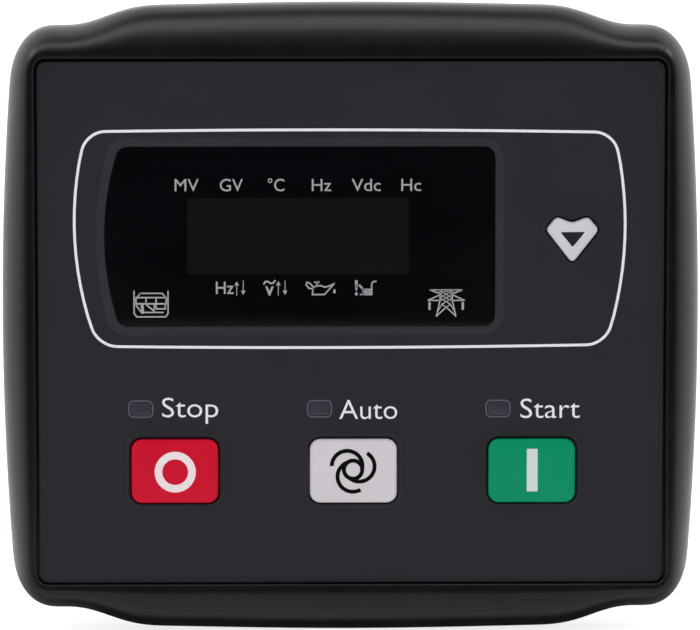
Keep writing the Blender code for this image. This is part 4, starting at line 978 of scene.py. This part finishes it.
class CONTROLLER_OT_signs(bpy.types.Operator):
    """Units and small pictures printed on the window"""

    bl_idname = "controller.signs"
    bl_label = "Window Signs"

    def execute(self, context):
        s = context.scene.controller_face
        front, depth = FACE - s.ink_height, s.ink_height + SINK
        bm = bmesh.new()
        for text, left, right in UPPER_SIGNS:
            drawn_word(bm, text, left, right, 190.7, 178.7, front, depth, 0.002)
        drawn_word(bm, "Hz", 216.0, 233.8, 292.9, 280.9, front, depth, 0.006)
        drawn_word(bm, "V", 265.2, 273.8, 294.4, 286.2, front, depth, 0.045)
        finish_piece("window_units", bm, ink("sign_ink", s.sign_ink), "controller", smooth=30)
        bm = bmesh.new()

        def draw(points, width, close=False):
            strokes(bm, [face_point(*point) for point in points], width * MM, front, depth, close)

        self.arrows(bm, draw, front, depth)
        self.oil_can(draw)
        self.coolant(draw)
        self.generating_set(draw)
        self.pylon(draw)
        finish_piece("window_pictures", bm, ink("sign_ink", s.sign_ink), "controller", smooth=30)
        return {"FINISHED"}

    def arrows(self, bm, draw, front, depth):
        """Up and down arrows, and the wave over the V."""
        for x, tip, head, tail in (
            (236.8, 280.4, 284.6, 294.4),
            (243.3, 294.0, 289.8, 280.0),
            (278.3, 280.4, 284.6, 294.4),
            (285.0, 294.0, 289.8, 280.0),
        ):
            draw([(x, head), (x, tail)], 0.10)
            corners = [face_point(x - 2.3, head), face_point(x + 2.3, head), face_point(x, tip)]
            slab(bm, corners if tip < head else corners[::-1], front, front + depth)
        draw([(264.0, 283.0), (265.6, 280.9), (267.8, 280.7), (270.8, 282.6), (273.0, 282.4), (275.0, 280.0)], 0.22)

    def oil_can(self, draw):
        """Oil can with its drop."""
        draw([(312.8, 288.2), (308.8, 287.4), (306.2, 284.2), (306.9, 281.6), (309.6, 282.4), (313.2, 286.2)], 0.19)
        draw([(313.2, 286.2), (320.4, 284.8), (324.8, 286.4), (328.4, 285.6), (334.0, 283.0)], 0.19)
        draw([(313.2, 286.2), (312.3, 293.8), (324.4, 293.8), (333.8, 283.4)], 0.19)
        draw([(315.0, 281.4), (318.6, 281.4)], 0.22)
        draw([(316.8, 281.4), (316.8, 284.8)], 0.22)
        draw([(334.4, 289.8), (334.4, 291.4)], 0.30)

    def coolant(self, draw):
        """Coolant tank with a warning stroke."""
        draw([(356.2, 280.9), (356.2, 284.6)], 0.38)
        draw([(356.2, 284.6), (356.2, 288.8)], 0.24)
        draw([(356.2, 292.8), (356.2, 293.4)], 0.34)
        draw([(359.6, 284.9), (362.6, 288.2)], 0.27)
        draw([(360.6, 293.8), (371.6, 293.8), (371.6, 283.0), (373.2, 281.0), (375.8, 280.8)], 0.20)
        draw([(362.8, 288.4), (362.8, 293.8)], 0.20)
        for level in (288.6, 290.3, 292.0):
            draw([(362.8, level), (371.2, level)], 0.16)

    def generating_set(self, draw):
        """Generating set in its enclosure."""
        draw([(134.3, 290.4), (134.3, 312.4), (137.0, 315.8), (165.8, 315.8), (168.2, 312.4), (168.2, 290.4)], 0.19)
        draw([(140.6, 292.3), (162.4, 292.3), (166.0, 296.6), (137.0, 296.6)], 0.19, close=True)
        draw([(136.2, 296.8), (136.2, 302.8), (166.4, 302.8), (166.4, 296.8)], 0.22)
        draw([(146.2, 296.8), (146.2, 303.4), (154.2, 310.0)], 0.20)
        draw([(156.3, 296.8), (156.3, 307.8), (165.4, 307.8), (165.4, 303.0)], 0.20)
        draw([(142.3, 303.6), (142.8, 311.2)], 0.38)
        draw([(136.4, 304.4), (141.6, 311.4), (163.2, 311.4)], 0.19)
        draw([(154.6, 303.2), (154.0, 310.6)], 0.18)

    def pylon(self, draw):
        """Lattice pylon with two pairs of arms."""
        draw([(429.8, 289.3), (461.4, 289.3)], 0.15)
        for side in (-1, 1):
            x = [446.0 + side * across for across in (15.6, 6.2, 17.8, 16.6, 6.2, 9.6, 4.4)]
            draw([(x[0], 289.6), (x[1], 293.2)], 0.19)
            draw([(x[1], 289.4), (x[4], 300.0), (x[5], 315.4)], 0.18)
            draw([(x[1], 294.2), (x[2], 299.6), (x[1], 300.0)], 0.18)
            draw([(x[3], 302.4), (x[3], 308.2)], 0.30)
            draw([(446.0, 306.6), (x[5], 315.4)], 0.18)
            draw([(446.0, 301.0), (x[6], 303.8), (446.0, 306.6)], 0.15)
            draw([(x[1], 289.6), (446.0, 293.6), (x[1], 297.4), (446.0, 301.0)], 0.13)
            draw([(446.0, 290.4), (x[1], 293.6), (446.0, 297.4), (x[1], 300.6)], 0.13)
            draw([(x[6], 304.2), (446.0 + side * 8.4, 310.8)], 0.13)


class CONTROLLER_OT_labels(bpy.types.Operator):
    """Words over the keys and the printed rings round the lights"""

    bl_idname = "controller.labels"
    bl_label = "Key Labels"

    def execute(self, context):
        s = context.scene.controller_face
        front, depth = FACE - s.ink_height, s.ink_height + SINK
        bm = bmesh.new()
        drawn_word(bm, "Stop", 161.8, 218.0, 416.4, 396.8, front, depth, -0.006)
        drawn_word(bm, "Auto", 339.2, 397.2, 418.4, 399.2, front, depth, -0.006)
        drawn_word(bm, "Start", 520.6, 580.2, 417.8, 398.4, front, depth, -0.006)
        finish_piece("key_labels", bm, ink("legend_ink", s.ink), "controller", smooth=30)
        bm = bmesh.new()
        for centre in GUIDES.values():
            plate(bm, [placed(guide_outline(grow), centre) for grow in (0.27 * MM, 0.05 * MM)], front, front + depth)
        finish_piece("light_rings", bm, ink("ring_ink", (0.080, 0.076, 0.094)), "controller")
        return {"FINISHED"}


class CONTROLLER_OT_lights(bpy.types.Operator):
    """Light guides over the three main keys"""

    bl_idname = "controller.lights"
    bl_label = "Light Guides"

    def execute(self, context):
        smoky = moulded("guide_plastic", (0.027, 0.029, 0.040), 0.22, 0.0002, 0.08, dust=0.1, coat=0.6)
        for name, centre in GUIDES.items():
            low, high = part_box(f"light_guide_{name}")
            bm = bmesh.new()
            edge = 0.15 * MM
            top = slab(bm, placed(guide_outline(), centre), high.y, low.y + edge)
            rounded_front(bm, top, edge, 3)
            slab(bm, placed(guide_outline(0.6 * MM), centre), -6.1 * MM, -5.5 * MM)
            finish_piece(f"light_bar_{name}", bm, smoky, "controller", (f"light_guide_{name}",), "guide_clear")
        return {"FINISHED"}


# Keys

class CONTROLLER_OT_keys(bpy.types.Operator):
    """Key caps with rounded edges and their symbols"""

    bl_idname = "controller.keys"
    bl_label = "Keys"

    def execute(self, context):
        s = context.scene.controller_keys
        tints = {"stop": s.red, "auto": s.grey, "start": s.green, "scroll": s.white}
        slots = {"stop": "key_red", "auto": "key_light_grey", "start": "key_green", "scroll": "key_white_grey"}
        for name, centre in KEYS.items():
            low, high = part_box(f"key_{name}")
            bm = bmesh.new()
            top = slab(bm, placed(key_outline(name, s.flange), centre), high.y, high.y - s.flange_depth)
            step(bm, top, inset=s.flange)
            step(bm, top, forward=high.y - low.y - s.flange_depth - s.edge)
            rounded_front(bm, top, s.edge, 5)
            looks = {"grain": 0.00014, "strength": 0.10, "change": 0.06, "lighter": 1.04, "dust": 0.06, "mirror": 0.10}
            cap = moulded(f"key_{name}_plastic", tints[name], 0.40, **looks)
            finish_piece(f"key_cap_{name}", bm, cap, f"{name}_key", (f"key_{name}",), slots[name])
        self.symbols(context)
        return {"FINISHED"}

    def symbols(self, context):
        s = context.scene.controller_keys
        height = 0.02 * MM
        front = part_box("key_stop")[0].y - height
        depth = height + SINK
        bm = bmesh.new()
        x, z = face_point(174.8, 470.6)
        plate(bm, [circle_outline(radius, x, z, 64) for radius in (2.80 * MM, 1.76 * MM)], front, front + depth)
        finish_piece("stop_symbol", bm, ink("symbol_ink", s.symbol, 0.08), "stop_key")
        bm = bmesh.new()
        x, z = face_point(532.4, 469.3)
        slab(bm, rectangle(1.48 * MM, 5.86 * MM, x, z), front, front + depth)
        finish_piece("start_symbol", bm, ink("start_ink", s.start_symbol, 0.08), "start_key")
        bm = bmesh.new()
        x, z = face_point(352.9, 468.5)
        unit = 0.136 * MM
        plate(bm, [circle_outline(radius * unit, x, z, 48) for radius in (11.2, 7.1)], front, front + depth)
        for i in range(3):
            turn = -2 * math.pi * i / 3
            centre = Vector((x, z)) + Matrix.Rotation(turn, 2) @ Vector((-5.95, 3.7)) * unit
            lift = front - 0.0006 * MM * (i + 1)
            start, sweep = turn + math.radians(-15), math.radians(195)
            band_arc(bm, centre, 15.35 * unit, 4.0 * unit, start, sweep, lift, depth)
        finish_piece("auto_symbol", bm, ink("dark_ink", (0.0022, 0.0018, 0.0026), 0.02, 0.12), "auto_key")
        bm = bmesh.new()
        corners = [face_point(559.6, 231.4), face_point(571.8, 246.2), face_point(584.4, 231.2)]
        slab(bm, rounded_outline(corners, [0.12 * MM] * 3, 3), front, front + depth)
        finish_piece("scroll_symbol", bm, ink("scroll_ink", (0.018, 0.015, 0.020), 0.05, 0.2), "scroll_key")


# Rear

class CONTROLLER_OT_housing(bpy.types.Operator):
    """Rear housing, gasket and clips, with the terminal numbers"""

    bl_idname = "controller.housing"
    bl_label = "Housing"

    def execute(self, context):
        s = context.scene.controller_rear
        black = moulded("housing_moulding", s.housing_black, 0.46, 0.00035, 0.55, 0.14, lighter=1.5)
        for node in ("rear_housing", "mounting_clip_left", "mounting_clip_right"):
            repaint(node, black)
        rubber = moulded("gasket_rubber", (0.012, 0.012, 0.012), 0.78, 0.0003, 0.5, lighter=1.5, dust=0.6)
        repaint("panel_gasket", rubber)
        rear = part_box("rear_housing")[1].y
        bm = bmesh.new()
        below, thickness, narrow, broad = 7.4 * MM, 0.04 * MM, 0.32, 0.62
        for _, ways, pitch, z, first in TERMINALS:
            for i in range(ways):
                number = str(first + i)
                half = s.number_height * (narrow if len(number) == 1 else broad)
                part = bmesh.new()
                lettering(part, number, -half, half, 0.0, s.number_height, 0.0, thickness, 0.01)
                bmesh.ops.rotate(part, verts=part.verts, cent=(0, 0, 0), matrix=Matrix.Rotation(math.pi, 3, "Z"))
                place = (pitch * ((ways - 1) / 2 - i), rear + SINK, z - below)
                bmesh.ops.translate(part, verts=part.verts, vec=place)
                merge(bm, part)
        finish_piece("terminal_numbers", bm, ink("number_ink", (0.62, 0.62, 0.62)), "controller", smooth=30)
        return {"FINISHED"}


class CONTROLLER_OT_terminals(bpy.types.Operator):
    """Terminal headers and plugs, with a clamp screw and a wire clamp in each way"""

    bl_idname = "controller.terminals"
    bl_label = "Terminals"

    def execute(self, context):
        s = context.scene.controller_rear
        green = moulded("terminal_plastic", s.green, 0.42, 0.0003, 0.25, 0.1, lighter=1.12)
        dark = moulded("header_plastic", tuple(v * 0.8 for v in s.green), 0.45, 0.0003, 0.25, lighter=1.1)
        for side, ways, pitch, _, _ in TERMINALS:
            repaint(f"terminal_plug_{side}", green)
            repaint(f"terminal_header_{side}", dark)
            low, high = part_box(f"terminal_plug_{side}")
            screws, clamps = bmesh.new(), bmesh.new()
            for i in range(ways):
                x = pitch * (i - (ways - 1) / 2)
                self.screw(screws, (x, 45.5 * MM, high.z - 1.75 * MM), 1.35 * MM)
                self.clamp(clamps, x, high.y - 2.2 * MM, low.z + 2.2 * MM)
            finish_piece(f"plug_screws_{side}", screws, zinc(), "controller")
            finish_piece(f"wire_clamps_{side}", clamps, zinc(), "controller")
        return {"FINISHED"}

    def screw(self, bm, place, radius):
        """A slotted screw head that looks up."""
        height, chamfer, chamfer_rise = 0.5 * MM, 0.12 * MM, 0.1 * MM
        slot_half, slot_depth = 0.22 * MM, 0.35 * MM
        part = bmesh.new()
        bmesh.ops.create_circle(part, cap_ends=True, segments=20, radius=radius)
        pulled = bmesh.ops.extrude_face_region(part, geom=list(part.faces))["geom"]
        (cap,) = [item for item in pulled if isinstance(item, bmesh.types.BMFace)]
        bmesh.ops.translate(part, verts=cap.verts, vec=(0.0, 0.0, height))
        bmesh.ops.inset_region(part, faces=[cap], thickness=chamfer, use_even_offset=True)
        bmesh.ops.translate(part, verts=cap.verts, vec=(0.0, 0.0, chamfer_rise))
        pieces = [cap]
        for side in (-slot_half, slot_half):
            geom = {item for face in pieces for item in (face, *face.edges, *face.verts)}
            cut = bmesh.ops.bisect_plane(part, geom=list(geom), plane_co=(side, 0, 0), plane_no=(1, 0, 0))
            pieces = [item for item in cut["geom"] if isinstance(item, bmesh.types.BMFace)]
        slot = min(pieces, key=lambda face: abs(face.calc_center_median().x))
        bmesh.ops.inset_region(part, faces=[slot], thickness=0.01 * MM, use_even_offset=True)
        bmesh.ops.translate(part, verts=slot.verts, vec=(0.0, 0.0, -slot_depth))
        bmesh.ops.translate(part, verts=part.verts, vec=place)
        merge(bm, part)

    def clamp(self, bm, x, y, z):
        """A square cage that grips the wire."""
        outer, inner = 2.6 * MM, 2.0 * MM
        plate(bm, [rectangle(side, side, x, z) for side in (outer, inner)], y - 1.2 * MM, y + 0.2 * MM)
        for i in range(3):
            tooth = rectangle(inner, 0.14 * MM, x, z - inner / 2 + 0.08 * MM)
            slab(bm, tooth, y - (0.9 - 0.4 * i) * MM, y - (0.75 - 0.4 * i) * MM)


class CONTROLLER_OT_fasteners(bpy.types.Operator):
    """Housing screws, board screws and the threaded clamp screws of the clips"""

    bl_idname = "controller.fasteners"
    bl_label = "Fasteners"

    def execute(self, context):
        s = context.scene.controller_rear
        steel = zinc()
        for i in range(1, 5):
            for node in (f"housing_screw_{i}", f"board_screw_{i}", f"power_board_screw_{i}"):
                repaint(node, steel)
        for side in ("left", "right"):
            node = f"clamp_screw_{side}"
            repaint(node, steel)
            low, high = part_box(node)
            centre = centre_of(node)
            bm = bmesh.new()
            self.thread(bm, centre.x, centre.z, low.y + 1.0 * MM, high.y - 2.8 * MM, 1.90 * MM, s.thread_pitch)
            finish_piece(f"clamp_thread_{side}", bm, steel, "controller", slot="screw_steel", smooth=60)
        return {"FINISHED"}

    def thread(self, bm, x, z, start, end, radius, pitch):
        """A ridge that winds along the shank."""
        turns = (end - start) / pitch
        half, top = pitch * 0.42, 0.05 * MM
        inner, outer = radius - 0.05 * MM, radius + 0.18 * MM
        profile = [(inner, -half), (outer, -top), (outer, top), (inner, half)]
        face = bm.faces.new([bm.verts.new((x + r, start + y, z)) for r, y in profile])
        steps = max(int(turns * 20), 8)
        way = {"axis": (0.0, 1.0, 0.0), "dvec": (0.0, (end - start) / steps, 0.0), "angle": 2 * math.pi * turns}
        bmesh.ops.spin(bm, geom=[face], cent=(x, 0.0, z), steps=steps, use_merge=False, use_duplicate=False, **way)


class CONTROLLER_OT_boards(bpy.types.Operator):
    """Boards, components, switches, lights and the display behind the face"""

    bl_idname = "controller.boards"
    bl_label = "Boards and Components"

    def execute(self, context):
        board = laminate("board_laminate")
        black = moulded("component_black", (0.012, 0.012, 0.013), 0.45, 0.0002, 0.4, 0.12)
        relay = moulded("relay_case", (0.010, 0.030, 0.110), 0.32, 0.0002, 0.15)
        plunger = moulded("plunger_orange", (0.55, 0.12, 0.035), 0.45, 0.0002, 0.2)
        resin = moulded("led_resin", (0.70, 0.68, 0.55), 0.30, 0.0003, 0.1)
        finishes = {
            "front_board": board,
            "power_board": board,
            "board_link_header": black,
            "controller_chip": black,
            "light_baffle": moulded("baffle_black", (0.004, 0.004, 0.004), 0.75, 0.0003, 0.4),
            "display_module": moulded("module_grey", (0.40, 0.30, 0.29), 0.60, 0.0002, 0.2),
            "supply_capacitor": moulded("capacitor_sleeve", (0.010, 0.014, 0.045), 0.30, 0.0005, 0.1, coat=0.5),
            "supply_transformer": moulded("transformer_tape", (0.48, 0.30, 0.030), 0.36, 0.0009, 0.2, lighter=0.8),
        }
        finishes.update({f"relay_{i}": relay for i in range(1, 4)})
        for name in KEYS:
            finishes.update({f"switch_{name}": black, f"plunger_{name}": plunger})
        finishes.update({f"led_{name}": resin for name in GUIDES})
        for node, material in finishes.items():
            repaint(node, material)
        return {"FINISHED"}


# Stage

def smooth_step(tree, value, low, high, to_low=0.0, to_high=1.0):
    return remap(tree, value, low, high, to_low, to_high, "SMOOTHSTEP")


def product_of_steps(tree, *steps):
    """Smooth steps, each a value with its limits, multiplied with each other."""
    return product(tree, *(smooth_step(tree, *step) for step in steps))


def stage_world(scene):
    """White to the camera. In reflections, a bright wall behind, a soft light overhead and dark in front."""
    world = bpy.data.worlds.new("studio")
    scene.world = world
    world.use_nodes = True
    tree = world.node_tree
    tree.nodes.clear()
    out = tree.nodes.new("ShaderNodeOutputWorld")
    seen = add(tree, "ShaderNodeBackground", {"Color": (1.0, 1.0, 1.0, 1.0), "Strength": 1.05})
    way = add(tree, "ShaderNodeTexCoord").outputs["Generated"]
    x, y, z = add(tree, "ShaderNodeSeparateXYZ", {"Vector": way}).outputs
    lift = maths(tree, "ARCTAN2", z, product(tree, y, -1.0))
    lean = maths(tree, "ARCTAN2", maths(tree, "ABSOLUTE", x), z)

    wall = product_of_steps(tree, (y, -1.05, 0.2), (z, 0.05, 0.55, 0.95, 0.82), (z, 0.968, 0.80, 0.05, 1.0))
    overhead = product_of_steps(tree, (lift, 0.98, 1.46), (lift, 1.84, 1.58), (lean, 0.60, 0.50))
    rising = product_of_steps(tree, (lift, 0.9, 1.4), (lift, 2.0, 1.75))
    corner = product(tree, rising, product_of_steps(tree, (lean, 0.62, 0.72), (lean, 1.12, 0.98)))
    light = total(tree, wall, product(tree, overhead, 1.75), product(tree, corner, 2.4))
    light = total(tree, product(tree, light, smooth_step(tree, z, -0.30, -0.10)), 0.01)
    lit = add(tree, "ShaderNodeBackground", {"Color": (0.97, 0.945, 1.0, 1.0), "Strength": light})
    camera_ray = add(tree, "ShaderNodeLightPath").outputs["Is Camera Ray"]
    mixed = add(tree, "ShaderNodeMixShader", {0: camera_ray, 1: lit.outputs[0], 2: seen.outputs[0]})
    tree.links.new(mixed.outputs[0], out.inputs[0])


def pale_floor():
    """Pale floor that looks white to the camera. In reflections it shows a dimmer painted glow in place of its own
    shading: bright behind and beside the controller, a band just in front of it, dark further in front, and painted
    shadow right under the controller.
    """
    material, tree, shader = start_material("pale_floor")
    place = object_place(tree)
    mottle = noise(tree, place, 40.0, 3.0)
    tone = mix_colour(tree, remap(tree, mottle, 0.3, 0.7), (0.50, 0.50, 0.505, 1.0), (0.53, 0.53, 0.53, 1.0))
    tree.links.new(tone, shader.inputs["Base Color"])
    shader.inputs["Roughness"].default_value = 0.7
    shader.inputs["Emission Color"].default_value = (1.0, 1.0, 1.0, 1.0)
    shader.inputs["Emission Strength"].default_value = 0.80
    y = add(tree, "ShaderNodeSeparateXYZ", {"Vector": place}).outputs["Y"]
    reach = add(tree, "ShaderNodeVectorMath", {0: place}, operation="LENGTH").outputs["Value"]
    turned = maths(tree, "DIVIDE", y, reach)
    # Painted light for reflections: far is the floor glowing behind and beside the controller; near is a band in front
    # that drops to painted shadow under the controller.
    far = product_of_steps(tree, (turned, -1.0, 0.1), (reach, 0.052, 0.09))
    near = product_of_steps(tree, (y, -0.13, -0.06), (y, -0.0066, -0.0084, 0.01, 0.46), (reach, 0.16, 0.09))
    painted_glow_strength = total(tree, maths(tree, "MAXIMUM", far, near), 0.004)
    painted_glow = add(tree, "ShaderNodeEmission", {"Color": (1.0, 0.93, 1.0, 1.0), "Strength": painted_glow_strength})
    glossy = add(tree, "ShaderNodeLightPath").outputs["Is Glossy Ray"]
    mixed = add(tree, "ShaderNodeMixShader", {0: glossy, 1: shader.outputs[0], 2: painted_glow.outputs[0]})
    tree.links.new(mixed.outputs[0], tree.nodes["Material Output"].inputs[0])
    return material


def soft_light(scene, name, place, width, height, power):
    """A rectangle of light that faces the controller and stays out of reflections."""
    data = bpy.data.lights.new(name, "AREA")
    data.shape = "RECTANGLE"
    data.size, data.size_y = width, height
    data.energy = power
    light = bpy.data.objects.new(name, data)
    light.location = place
    light.rotation_euler = (-Vector(place)).to_track_quat("-Z", "Y").to_euler()
    light.visible_glossy = False
    scene.collection.objects.link(light)


class CONTROLLER_OT_stage(bpy.types.Operator):
    """Pale floor, soft lights and the camera"""

    bl_idname = "controller.stage"
    bl_label = "Stage"

    def execute(self, context):
        scene = context.scene
        s = scene.controller_stage
        bm = bmesh.new()
        bmesh.ops.create_grid(bm, x_segments=1, y_segments=1, size=1.5)
        bmesh.ops.translate(bm, verts=bm.verts, vec=(0.0, 0.0, BEZEL_LOW.z - 0.05 * MM))
        mesh = bpy.data.meshes.new("floor")
        bm.to_mesh(mesh)
        bm.free()
        mesh.materials.append(pale_floor())
        floor = bpy.data.objects.new("floor", mesh)
        scene.collection.objects.link(floor)
        stage_world(scene)
        soft_light(scene, "softbox_fill", (-0.055, -0.44, 0.34), 0.385, 0.275, s.fill)
        aim = Vector((s.aim_left, FACE, s.aim_up))
        level = math.cos(s.elevation)
        back = Vector((math.sin(s.azimuth) * level, -math.cos(s.azimuth) * level, math.sin(s.elevation)))
        place = Vector((0.0, FACE, 0.0)) + back * s.distance
        data = bpy.data.cameras.new("camera")
        data.sensor_width = 36.0
        data.sensor_fit = "HORIZONTAL"
        data.lens = s.focal
        data.clip_start = 0.01
        camera = bpy.data.objects.new("camera", data)
        camera.location = place
        camera.rotation_euler = (aim - place).to_track_quat("-Z", "Y").to_euler()
        scene.collection.objects.link(camera)
        scene.camera = camera
        scene.view_settings.view_transform = "Standard"
        scene.view_settings.look = "None"
        return {"FINISHED"}


class CONTROLLER_PT_panel(bpy.types.Panel):
    """Lists the pieces of the controller in the order that they are made"""

    bl_idname = "CONTROLLER_PT_panel"
    bl_label = "Genset Controller"
    bl_space_type = "VIEW_3D"
    bl_region_type = "UI"
    bl_category = "Controller"

    def draw(self, context):
        for operator in OPERATORS:
            self.layout.operator(operator.bl_idname)


OPERATORS = (
    CONTROLLER_OT_bezel,
    CONTROLLER_OT_overlay,
    CONTROLLER_OT_window,
    CONTROLLER_OT_frame_line,
    CONTROLLER_OT_signs,
    CONTROLLER_OT_labels,
    CONTROLLER_OT_lights,
    CONTROLLER_OT_keys,
    CONTROLLER_OT_housing,
    CONTROLLER_OT_terminals,
    CONTROLLER_OT_fasteners,
    CONTROLLER_OT_boards,
    CONTROLLER_OT_stage,
)


def register():
    for name, group in SETTINGS:
        bpy.utils.register_class(group)
        setattr(bpy.types.Scene, name, PointerProperty(type=group))
    for operator in OPERATORS:
        bpy.utils.register_class(operator)
    bpy.utils.register_class(CONTROLLER_PT_panel)


def unregister():
    bpy.utils.unregister_class(CONTROLLER_PT_panel)
    for operator in reversed(OPERATORS):
        bpy.utils.unregister_class(operator)
    for name, group in reversed(SETTINGS):
        delattr(bpy.types.Scene, name)
        bpy.utils.unregister_class(group)


def main():
    register()
    for operator in OPERATORS:
        getattr(bpy.ops.controller, operator.bl_idname.split(".")[1])()
    bpy.context.view_layer.update()


if __name__ == "__main__":
    main()
